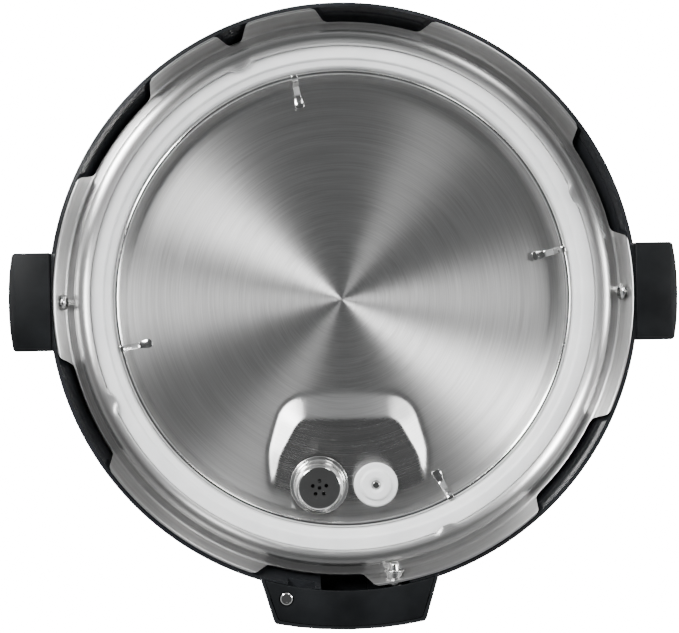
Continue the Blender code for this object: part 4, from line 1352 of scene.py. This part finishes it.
    def build(self, repeat: Repeater, bright: bpy.types.Material, silicone: bpy.types.Material,
              black: bpy.types.Material) -> None:
        """Make the valves.

        Args:
            repeat: the tree that sets copies round an axis.
            bright: finish of the metal pieces.
            silicone: finish of the cap.
            black: finish of the knob.
        """
        piece("anti_block_shield", self.shield(repeat, bright), bright, Body.LID)
        piece("vent_pipe", self.pipe(), bright, Body.LID)
        piece("release_weight", self.weight(), bright, Body.WEIGHT)
        piece("release_knob", self.knob(repeat, black), black, Body.KNOB)
        x, y = self.vent_at
        insert = [(0.0, self.knob_top - 0.1 * MM, 0.0), (6.0 * MM, self.knob_top - 0.1 * MM, 0.3 * MM),
                  (6.0 * MM, self.knob_top - 1.2 * MM, 0.1 * MM), (0.0, self.knob_top - 1.2 * MM, 0.0)]
        disc = lathe("knob_insert", rounded(insert, steps=3), 64, at=(x, y, 0.0))
        piece("knob_insert", disc, bright, Body.KNOB)
        piece("float_pin", self.float_pin(), bright, Body.FLOAT)
        piece("float_cap", self.float_cap(), silicone, Body.FLOAT)


# ---------------------------------------------------------------- sliding lock

@dataclass
class LockGroup:
    """The slider, its pin, the bush in the skirt and the return spring."""

    pin_x = -22.0 * MM
    pin_z = -27.0 * MM
    pin_r: float = 2.85 * MM
    tip_r: float = 2.0 * MM
    tip_y: float = -129.9 * MM
    end_y: float = -144.7 * MM
    bush_y: float = -133.0 * MM
    spring_x: float = -34.0 * MM
    spring_z: float = -5.0 * MM
    spring_r: float = 2.2 * MM
    spring_wire: float = 0.35 * MM
    spring_turns: float = 6.0
    travel: float = 5.0 * MM

    def pin(self) -> bpy.types.Mesh:
        """The pin, tapered and rounded at its tip."""
        long = self.tip_y - self.end_y
        corners = [(0.0, long, 0.0), (self.tip_r, long, 0.8 * MM), (self.pin_r, long - 5.5 * MM, 1.5 * MM),
                   (self.pin_r, 0.0, 0.3 * MM), (0.0, 0.0, 0.0)]
        turn = Matrix.Rotation(math.radians(-90), 3, "X")
        return lathe("pin", rounded(corners, steps=5), 64, at=(self.pin_x, self.end_y, self.pin_z), turn=turn)

    def bush(self) -> bpy.types.Mesh:
        """The flared bush that the pin slides in."""
        inner = self.pin_r + GAP
        corners = [
            (inner + 0.3 * MM, 0.0, 0.1 * MM), (inner + 1.7 * MM, 0.0, 0.3 * MM),
            (inner + 1.7 * MM, -1.0 * MM, 0.3 * MM),
            (inner + 0.45 * MM, -1.0 * MM, 0.2 * MM), (inner + 0.45 * MM, -7.5 * MM, 0.1 * MM),
            (inner, -7.5 * MM, 0.1 * MM),
            (inner, -0.4 * MM, 0.1 * MM),
        ]
        turn = Matrix.Rotation(math.radians(-90), 3, "X")
        profile = rounded(corners, steps=3, closed=True)
        return lathe("bush", profile, 64, ring=True, at=(self.pin_x, self.bush_y, self.pin_z), turn=turn)

    def slider(self) -> bpy.types.Mesh:
        """The slider: a tongue, the riser behind the pin and the spring's ear."""
        low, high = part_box("lock_slider")
        x = self.pin_x
        tongue = block("tongue", (x - 4 * MM, low.y, high.z - 2.6 * MM), (x + 12 * MM, high.y, high.z),
                       0.5 * MM, 2)
        riser = block("riser", (x - 3.9 * MM, low.y + 0.05 * MM, low.z),
                      (x + 4 * MM, low.y + 3.0 * MM, high.z - 0.1 * MM), 0.4 * MM, 2)
        ear = block("ear", (low.x, -106 * MM, high.z - 2.5 * MM), (x, -104 * MM, high.z - 0.1 * MM),
                    0.3 * MM, 2)
        return carve(tongue, ("UNION", riser), ("UNION", ear))

    def spring(self, coil: Coil, bright: bpy.types.Material) -> bpy.types.Mesh:
        """The return spring.

        Args:
            coil: the tree that winds it.
            bright: its finish.

        Returns:
            The spring.
        """
        low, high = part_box("lock_spring")
        long = high.y - low.y - 2 * self.spring_wire
        wound = coil.run(self.spring_turns, self.spring_r, long, self.spring_wire, bright)
        place = Matrix.Translation((self.spring_x, high.y - self.spring_wire, self.spring_z))
        wound.transform(place @ Matrix.Rotation(math.radians(90), 4, "X"))
        return wound

    def build(self, coil: Coil, bright: bpy.types.Material, matte: bpy.types.Material) -> None:
        """Make the lock.

        Args:
            coil: the tree that winds the spring.
            bright: finish of the metal pieces.
            matte: finish of the slider.
        """
        piece("lock_pin", self.pin(), bright, Body.LOCK)
        piece("pin_bush", self.bush(), bright, Body.LID)
        piece("lock_slider", self.slider(), matte, Body.LOCK)
        spring = piece("lock_spring", self.spring(coil, bright), bright, Body.LID)
        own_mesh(spring)


# ---------------------------------------------------------------- moulded cover and handle

@dataclass
class CoverGroup:
    """The black cover with its wings, lock block and valve well, its plates and its screws."""

    screw_z = -26.0 * MM
    top: float = 24.0 * MM
    flat_r: float = 34.0 * MM
    radius: float = 143.0 * MM
    low: float = -30.5 * MM
    wall: float = 2.4 * MM
    edge_r: float = 140.9 * MM
    wing_x: float = 161.5 * MM
    wing_half: float = 23.7 * MM
    wing_bow: float = 1.7 * MM
    wing_low: float = -30.8 * MM
    wing_top: float = -9.0 * MM
    plate_low: float = -32.5 * MM
    plate_top: float = -31.1 * MM
    plate_start: float = 141.6 * MM
    block_inner: Point = (44.0 * MM, -132.5 * MM)
    block_outer: Point = (36.6 * MM, -157.3 * MM)
    block_end: float = -160.9 * MM
    block_low: float = -31.6 * MM
    block_top: float = -0.5 * MM
    thin: float = 1.8 * MM
    lock_low: float = -32.2 * MM
    lock_top: float = -30.9 * MM
    lock_in_r: float = 141.6 * MM
    lock_screw: Point = (30.7 * MM, -145.1 * MM)
    well_low: Point = (-32.0 * MM, -118.0 * MM)
    well_high: Point = (32.0 * MM, -72.0 * MM)
    well_floor: float = 6.0 * MM
    tray_wall: float = 2.2 * MM
    foot_x: float = 48.0 * MM
    pad_top: float = 25.0 * MM
    steps: int = 256

    def line(self, inset: float) -> list[Point]:
        """The cover's outline from its top to its lower edge, moved in by inset."""
        low_r = self.radius if inset == 0 else self.edge_r
        return rounded([
            (0.0, self.top - inset, 0.0), (self.flat_r, self.top - inset, 90 * MM),
            (112 * MM, 9 * MM - inset, 60 * MM),
            (139.5 * MM - inset, -5 * MM - inset, 16 * MM), (low_r, self.low, 0.0),
        ], steps=10)

    def wing(self, side: int, start: float, inset: float) -> list[Point]:
        """Plan of a wing with its convex end.

        Args:
            side: 1 on the right, -1 on the left.
            start: distance from the axis at which it starts.
            inset: how far inside the wing's outline.

        Returns:
            The points.
        """
        end, half = self.wing_x - inset, self.wing_half - inset
        ends = [(start, -half, 0.0), (end - 2 * MM, -half, 2.0 * MM)]
        for share in (-0.6, -0.3, 0.0, 0.3, 0.6):
            ends.append((end - self.wing_bow * share ** 2, share * half, 0.0))
        ends += [(end - 2 * MM, half, 2.0 * MM), (start, half, 0.0)]
        points = rounded(ends, steps=5)
        return [(side * x, y) for x, y in points][::side]

    def block_plan(self, inner_y: float, inset: float) -> list[Point]:
        """Plan of the lock block, narrower and convex at its end.

        Args:
            inner_y: where it starts.
            inset: how far inside the block's outline.

        Returns:
            The points.
        """
        (x0, y0), (x1, y1) = self.block_inner, self.block_outer
        wide = x0 - inset + (inner_y - y0) * (x0 - x1) / (y0 - y1)
        x, y, end = x1 - inset, y1 + inset, self.block_end + inset
        half = [(wide, inner_y, 0.0), (x, y, 2.5 * MM)]
        curve = [(x * share, end + (y - end) * share ** 2, 0.0) for share in (0.7, 0.4, 0.0, -0.4, -0.7)]
        corners = half + curve + [(-px, py, r) for px, py, r in reversed(half)]
        return list(reversed(rounded(corners, steps=5)))

    def lock_plan(self, inset: float) -> list[Point]:
        """Plan of the plate under the block; its inner edge is an arc just outside the skirt."""
        inner_r = self.lock_in_r + inset
        outline = self.block_plan(self.block_inner[1], self.thin + inset)
        right, corner = Vector(outline[-1]), Vector(outline[-2])
        x, y = next(spot for spot in intersect_line_sphere_2d(right, corner, Vector((0, 0)), inner_r) if spot)
        reach = math.atan2(x, -y)
        arc = [(inner_r * math.sin(reach * step / 12), -inner_r * math.cos(reach * step / 12))
               for step in range(11, -12, -1)]
        return [(-x, y), *outline[1:-1], (x, y)] + arc

    def shell(self) -> bpy.types.Mesh:
        """The hollow cover with wings and block, before the well and the fixings."""
        outer = self.line(0.0)
        outer = outer[:-1] + [(self.radius, self.low + 0.4 * MM), (self.radius - 0.3 * MM, self.low),
                              (0.0, self.low)]
        body = lathe("cover", outer, self.steps)
        changes = []
        for side in (-1, 1):
            plan = partial(self.wing, side, 128 * MM)
            changes.append(("UNION", crowned("wing", plan, self.wing_low, self.wing_top, 0.9 * MM, 2.6 * MM)))
        plan = partial(self.block_plan, -126 * MM)
        changes.append(("UNION", crowned("block", plan, self.block_low, self.block_top, 0.9 * MM, 3.0 * MM)))
        inside = self.line(self.wall) + [(self.edge_r, self.low - 2 * MM), (0.0, self.low - 2 * MM)]
        changes.append(("DIFFERENCE", lathe("inside", inside, self.steps)))
        for side in (-1, 1):
            plan = self.wing(side, 144.5 * MM, self.thin)
            pocket = loft("pocket", plan, self.plate_low - 2 * MM, plan, self.wing_top - self.thin)
            changes.append(("DIFFERENCE", pocket))
        plan = self.block_plan(-144.6 * MM, self.thin)
        pocket = loft("pocket", plan, self.plate_low - 2 * MM, plan, self.block_top - self.thin + 0.6 * MM)
        changes.append(("DIFFERENCE", pocket))
        low = self.block_low - 2 * MM
        changes.append(("DIFFERENCE",
                        block("slot", (-29 * MM, -148 * MM, low), (14 * MM, -123 * MM, -2.5 * MM))))
        changes.append(("DIFFERENCE",
                        block("recess", (17 * MM, -142 * MM, low), (30 * MM, -134 * MM, -24 * MM))))
        rebate, high = self.lock_plan(0.0), self.lock_top + GAP
        changes.append(("DIFFERENCE", loft("rebate", rebate, low, rebate, high)))
        x, y = self.lock_screw
        changes.append(("UNION", rod("boss", (x, y, high), (x, y, -4 * MM), 3.4 * MM)))
        changes.append(("DIFFERENCE", rod("bore", (x, y, low), (x, y, -20 * MM), 1.9 * MM)))
        return carve(body, *changes)

    def tray_hole(self) -> bpy.types.Mesh:
        """The cutter of the hole in the top that the valve tray fills."""
        reach = self.tray_wall + GAP
        (x0, y0), (x1, y1) = self.well_low, self.well_high
        return block("tray_hole", (x0 - reach, y0 - reach, self.well_floor - reach),
                     (x1 + reach, y1 + reach, self.top + 10 * MM))

    def tray(self) -> bpy.types.Mesh:
        """The tray that the valves stand in."""
        (x0, y0), (x1, y1) = self.well_low, self.well_high
        floor, wall = self.well_floor, self.tray_wall
        form = block("tray", (x0 - wall, y0 - wall, floor - wall), (x1 + wall, y1 + wall, self.top + 2 * MM))
        body = self.line(0.0)[:-1] + [(self.radius, self.low), (0.0, self.low)]
        well = block("well", (x0, y0, floor), (x1, y1, self.top + 10 * MM), 3.0 * MM, 6)
        changes = [("INTERSECT", lathe("body", body, self.steps)), ("DIFFERENCE", well)]
        for (x, y), radius in ((ValveGroup.vent_at, 5.5 * MM), (ValveGroup.float_at, 3.5 * MM)):
            changes.append(("DIFFERENCE", rod("opening", (x, y, 0.0), (x, y, floor + 2 * MM), radius)))
        return carve(form, *changes)

    def fixing_changes(self) -> list[tuple[str, bpy.types.Mesh]]:
        """The changes for pads, bosses, screw holes and the spring's stop."""
        changes = []
        for side in (-1, 1):
            x, z = side * self.foot_x, self.screw_z
            changes.append(("UNION",
                            rod("pad", (x, 0, 20.6 * MM), (x, 0, self.pad_top), 15 * MM, 13.5 * MM, 96)))
            changes.append(("DIFFERENCE", rod("hole", (x, 0, 15 * MM), (x, 0, 30 * MM), 2.3 * MM)))
            changes.append(("UNION",
                            rod("boss", (side * 142.4 * MM, 0, z), (side * 150 * MM, 0, z), 3.8 * MM)))
            changes.append(("DIFFERENCE",
                            rod("bore", (side * 138 * MM, 0, z), (side * 154 * MM, 0, z), 2.0 * MM)))
        changes.append(("UNION",
                        rod("recess_form", (0, 0, 15.6 * MM), (0, 0, self.top - 1.2 * MM), 14 * MM,
                            sides=96)))
        changes.append(("DIFFERENCE",
                        rod("recess", (0, 0, 17.8 * MM), (0, 0, self.top + 2 * MM), 12 * MM, sides=96)))
        changes.append(("DIFFERENCE", rod("stud_hole", (0, 0, 10 * MM), (0, 0, 20 * MM), 3.4 * MM)))
        changes.append(("UNION",
                        block("stop", (-37.5 * MM, -127 * MM, -8 * MM), (-30.5 * MM, -121 * MM, -2 * MM))))
        return changes

    def plate(self, plan: list[Point], low: float, high: float) -> bpy.types.Mesh:
        """A flat plate with softened edges.

        Args:
            plan: its outline.
            low: underside.
            high: upper side.

        Returns:
            The plate.
        """
        return soften(loft("plate", plan, low, plan, high), 0.35 * MM, 3)

    def screw(self, head: Sequence[float], tip: Sequence[float], head_r: float, head_deep: float,
              shank_r: float) -> bpy.types.Mesh:
        """A pan-head screw with a cross slot.

        Args:
            head: middle of its outer face.
            tip: its other end.
            head_r: radius of the head.
            head_deep: depth of the head.
            shank_r: radius of the shank.

        Returns:
            The screw.
        """
        start, end = Vector(head), Vector(tip)
        along = (end - start).normalized()
        turn = Vector((0, 0, 1)).rotation_difference(-along).to_matrix()
        long = (end - start).length
        corners = [(0.0, 0.0, 0.0), (head_r * 0.8, -0.02 * head_deep, head_deep),
                   (head_r, -head_deep * 0.6, head_deep * 0.4),
                   (head_r, -head_deep, 0.1 * MM), (shank_r, -head_deep, 0.1 * MM),
                   (shank_r, -long, 0.4 * MM), (0.0, -long, 0.0)]
        body = lathe("screw", rounded(corners, steps=5), 64, at=start, turn=turn)
        across = along.orthogonal().normalized()
        cuts = []
        for way in (across, along.cross(across)):
            side = along.cross(way)
            reach = Vector([abs(v) for v in way * head_r * 0.62 + along * head_deep * 0.55])
            reach += Vector([abs(v) for v in side]) * 0.42 * MM
            cuts.append(("DIFFERENCE", block("cross", start - reach, start + reach)))
        return carve(body, *cuts)

    def build(self, gloss: bpy.types.Material, matte: bpy.types.Material, bright: bpy.types.Material) -> None:
        """Make the cover, its plates and its screws.

        Args:
            gloss: finish of the cover.
            matte: finish of the plates.
            bright: finish of the screws.
        """
        shell = carve(self.shell(), ("DIFFERENCE", self.tray_hole()), *self.fixing_changes())
        piece("outer_cover", shell, gloss, Body.LID)
        piece("valve_tray", self.tray(), gloss, Body.LID)
        for side, name in ((1, "right"), (-1, "left")):
            plate = self.plate(self.wing(side, self.plate_start, 0.0), self.plate_low, self.plate_top)
            piece("wing_plate_" + name, plate, matte, Body.LID)
            z = self.screw_z
            rim = self.screw((side * 134.7 * MM, 0, z), (side * 149 * MM, 0, z), 4.0 * MM, 1.9 * MM, 1.6 * MM)
            piece("rim_screw_" + name, rim, bright, Body.LID)
        x, y = self.lock_screw
        plate = self.plate(self.lock_plan(GAP), self.lock_low, self.lock_top)
        plate = carve(plate, ("DIFFERENCE", rod("hole", (x, y, -40 * MM), (x, y, -20 * MM), 1.9 * MM)),
                      ("DIFFERENCE",
                       rod("sink", (x, y, -40 * MM), (x, y, self.lock_low + 0.9 * MM), 3.6 * MM)))
        piece("lock_cover", plate, matte, Body.LID)
        low = self.screw((x, y, self.lock_low - 0.2 * MM), (x, y, -22 * MM), 3.1 * MM, 0.8 * MM, 1.5 * MM)
        piece("lock_cover_screw", low, bright, Body.LID)
        cap = [(0.0, self.top, 0.0), (11.7 * MM, self.top, 0.5 * MM), (11.7 * MM, 22.4 * MM, 0.1 * MM),
               (0.0, 22.4 * MM, 0.0)]
        piece("centre_cap", lathe("cap", rounded(cap), 96), gloss, Body.LID)


@dataclass
class HandleGroup:
    """The bridge handle and the steel strip let into its top."""

    foot: float = 25.3 * MM
    foot_x: float = 48.0 * MM
    top: float = 62.0 * MM
    under: float = 46.0 * MM
    half_deep: float = 12.0 * MM
    trim: tuple[float, float] = (26.0 * MM, 6.0 * MM)

    def grip(self) -> bpy.types.Mesh:
        """The handle, an arch along X with softly rounded edges."""
        right = [(34 * MM, self.foot, 0.0), (self.foot_x + 13 * MM, self.foot, 0.0),
                 (self.foot_x + 9 * MM, self.top - 3 * MM, 14 * MM), (30 * MM, self.top, 40 * MM)]
        left = [(-x, z, r) for x, z, r in reversed(right)]
        under = [(-32 * MM, self.under, 9 * MM), (32 * MM, self.under, 9 * MM)]
        outline = rounded(right + left + under, steps=10, closed=True)
        form = loft("grip", outline, -self.half_deep, outline, self.half_deep)
        form.transform(Matrix.Rotation(math.radians(90), 4, "X"))
        form = soften(form, 3.4 * MM, 6)
        half_x, half_y = self.trim
        recess = block("recess", (-half_x - GAP, -half_y - GAP, self.top - 1.9 * MM),
                       (half_x + GAP, half_y + GAP, self.top + 2 * MM))
        bores = [("DIFFERENCE", rod("bore", (x, 0, 20 * MM), (x, 0, 38 * MM), 2.3 * MM))
                 for x in (-self.foot_x, self.foot_x)]
        return carve(form, ("DIFFERENCE", recess), *bores)

    def build(self, gloss: bpy.types.Material, steel: bpy.types.Material) -> None:
        """Make the handle and its strip.

        Args:
            gloss: finish of the handle.
            steel: finish of the strip.
        """
        piece("handle_grip", self.grip(), gloss, Body.LID)
        half_x, half_y = self.trim
        strip = block("trim", (-half_x, -half_y, self.top - 1.6 * MM),
                      (half_x, half_y, self.top - 0.2 * MM), 0.3 * MM, 3)
        piece("handle_trim", strip, steel, Body.LID)


# ---------------------------------------------------------------- studio

@dataclass(frozen=True)
class Softbox:
    """A rectangular light that faces a point."""

    name: str
    azimuth: float
    tilt: float
    distance: float
    wide: float
    tall: float
    watts: float

    def hang(self, target: Vector) -> None:
        """Add the light.

        Args:
            target: the point that it faces.
        """
        data = bpy.data.lights.new(self.name, "AREA")
        data.shape = "RECTANGLE"
        data.size, data.size_y = self.wide, self.tall
        data.energy = self.watts
        lamp = bpy.data.objects.new(self.name, data)
        turn, tilt = math.radians(self.azimuth), math.radians(self.tilt)
        way = Vector((math.cos(turn) * math.sin(tilt), math.sin(turn) * math.sin(tilt), -math.cos(tilt)))
        lamp.location = target + way * self.distance
        lamp.rotation_mode = "QUATERNION"
        lamp.rotation_quaternion = (-way).to_track_quat("-Z", "Y")
        lamp.visible_camera = False
        bpy.context.scene.collection.objects.link(lamp)


@dataclass
class Studio:
    """Camera, pale floor and soft light. The camera looks up at the lid's underside."""

    eye: Corner = (20.4 * MM, -21.3 * MM, -532.3 * MM)
    aim: Corner = (13.35 * MM, -18.15 * MM, -32.3 * MM)
    shift: Point = (0.0324, 0.0268)
    roll: float = 1.1
    lens: float = 55.0
    floor_gap: float = 0.2 * MM
    floor_half: float = 40.0

    def camera(self) -> None:
        """Add the camera."""
        data = bpy.data.cameras.new("camera")
        data.lens = self.lens
        data.sensor_width = 36.0
        data.clip_start = 0.01
        data.shift_x, data.shift_y = self.shift
        camera = bpy.data.objects.new("camera", data)
        look = (Vector(self.aim) - Vector(self.eye)).normalized()
        up = Matrix.Rotation(math.radians(self.roll), 3, look) @ Vector((0, 1, 0))
        right = look.cross(up).normalized()
        turn = Matrix((right, right.cross(look), -look)).transposed()
        camera.location = self.eye
        camera.rotation_mode = "QUATERNION"
        camera.rotation_quaternion = turn.to_quaternion()
        bpy.context.scene.collection.objects.link(camera)
        bpy.context.scene.camera = camera

    def floor(self) -> None:
        """Add the floor, which is seen from above only."""
        low = CAD_BOX[0].z - self.floor_gap
        mesh = bpy.data.meshes.new("floor")
        half = self.floor_half
        mesh.from_pydata([(-half, -half, low), (half, -half, low), (half, half, low), (-half, half, low)],
                         [], [(0, 1, 2, 3)])
        pale = bpy.data.materials.new("pale floor")
        pale.use_nodes = True
        wires = Wires(pale.node_tree)
        shader = pale.node_tree.nodes["Principled BSDF"]
        shader.inputs["Base Color"].default_value = (0.86, 0.86, 0.85, 1.0)
        shader.inputs["Roughness"].default_value = 0.6
        clear = wires.add("ShaderNodeBsdfTransparent").outputs[0]
        back = wires.add("ShaderNodeNewGeometry").outputs["Backfacing"]
        both = wires.add("ShaderNodeMixShader", {0: back, 1: shader.outputs[0], 2: clear})
        pale.node_tree.links.new(both.outputs[0], pale.node_tree.nodes["Material Output"].inputs["Surface"])
        mesh.materials.append(pale)
        obj = bpy.data.objects.new("floor", mesh)
        obj.visible_shadow = False
        obj.visible_glossy = False
        obj.visible_diffuse = False
        obj.visible_transmission = False
        bpy.context.scene.collection.objects.link(obj)

    def world(self) -> None:
        """Add the white surroundings, which light the object less than they show."""
        world = bpy.data.worlds.new("studio")
        bpy.context.scene.world = world
        world.use_nodes = True
        wires = Wires(world.node_tree)
        white = wires.add("ShaderNodeBackground", {"Color": (1.0, 1.0, 1.0, 1.0), "Strength": 20.0})
        way = wires.add("ShaderNodeSeparateXYZ", {0: wires.add("ShaderNodeTexCoord").outputs["Generated"]})
        strength = wires.spread(way.outputs[2], -0.93, -0.25, 0.1, 0.75)
        soft = wires.add("ShaderNodeBackground", {"Color": (0.97, 0.985, 1.0, 1.0), "Strength": strength})
        seen = wires.add("ShaderNodeLightPath").outputs["Is Camera Ray"]
        both = wires.add("ShaderNodeMixShader", {0: seen, 1: soft.outputs[0], 2: white.outputs[0]})
        world.node_tree.links.new(both.outputs[0], world.node_tree.nodes["World Output"].inputs["Surface"])

    def build(self) -> None:
        """Make the studio."""
        self.camera()
        self.floor()
        self.world()
        target = Vector((0.0, 0.0, -20 * MM))
        for box in (
            Softbox("key", 38.0, 52.0, 1.1, 0.28, 0.9, 28.0),
            Softbox("fill right", 176.0, 55.0, 1.2, 0.3, 0.7, 12.0),
            Softbox("fill low", 122.0, 50.0, 1.2, 0.25, 0.7, 3.0),
            Softbox("top", 250.0, 140.0, 1.3, 0.9, 0.9, 22.0),
            Softbox("top back", 60.0, 135.0, 1.5, 0.9, 0.7, 12.0),
        ):
            box.hang(target)


def main() -> None:
    """Build the lid and the studio, piece by piece."""
    logging.basicConfig(level=logging.INFO, format="%(name)s %(message)s")
    repeat, coil = Repeater(), Coil()
    pressed = (
        BrushedSteel("brushed disc").make(),
        Metal("satin rim", colour=(0.76, 0.76, 0.755), roughness=0.24, uneven=0.15).make(),
    )
    trim = Metal("satin strip", roughness=0.28).make()
    bright = Metal("bright steel").make()
    silicone = Silicone("milky silicone").make()
    washer = Silicone("grey silicone", dark=(0.42, 0.42, 0.41), light=(0.52, 0.52, 0.5)).make()
    gloss = Moulding("black moulding").make()
    matte = Moulding("textured black moulding", dark=(0.004, 0.0045, 0.005), light=(0.008, 0.009, 0.010),
                     roughness=0.45, bump=0.25, coat=0.0, shine=0.12).make()
    coated = Metal("coated magnet", colour=(0.3, 0.3, 0.31), roughness=0.3).make()
    Studio().build()
    PressedLid().build(repeat, pressed)
    SealGroup().build(repeat, silicone, bright)
    ValveGroup().build(repeat, bright, silicone, gloss)
    LockGroup().build(coil, bright, matte)
    CoverGroup().build(gloss, matte, bright)
    HandleGroup().build(gloss, trim)
    for node in ("vent_nut", "centre_stud", "centre_washer", "centre_nut", "handle_screw_left",
                 "handle_screw_right"):
        dress(node, bright)
    dress("vent_washer", washer)
    dress("sensor_magnet", coated)


if __name__ == "__main__":
    main()
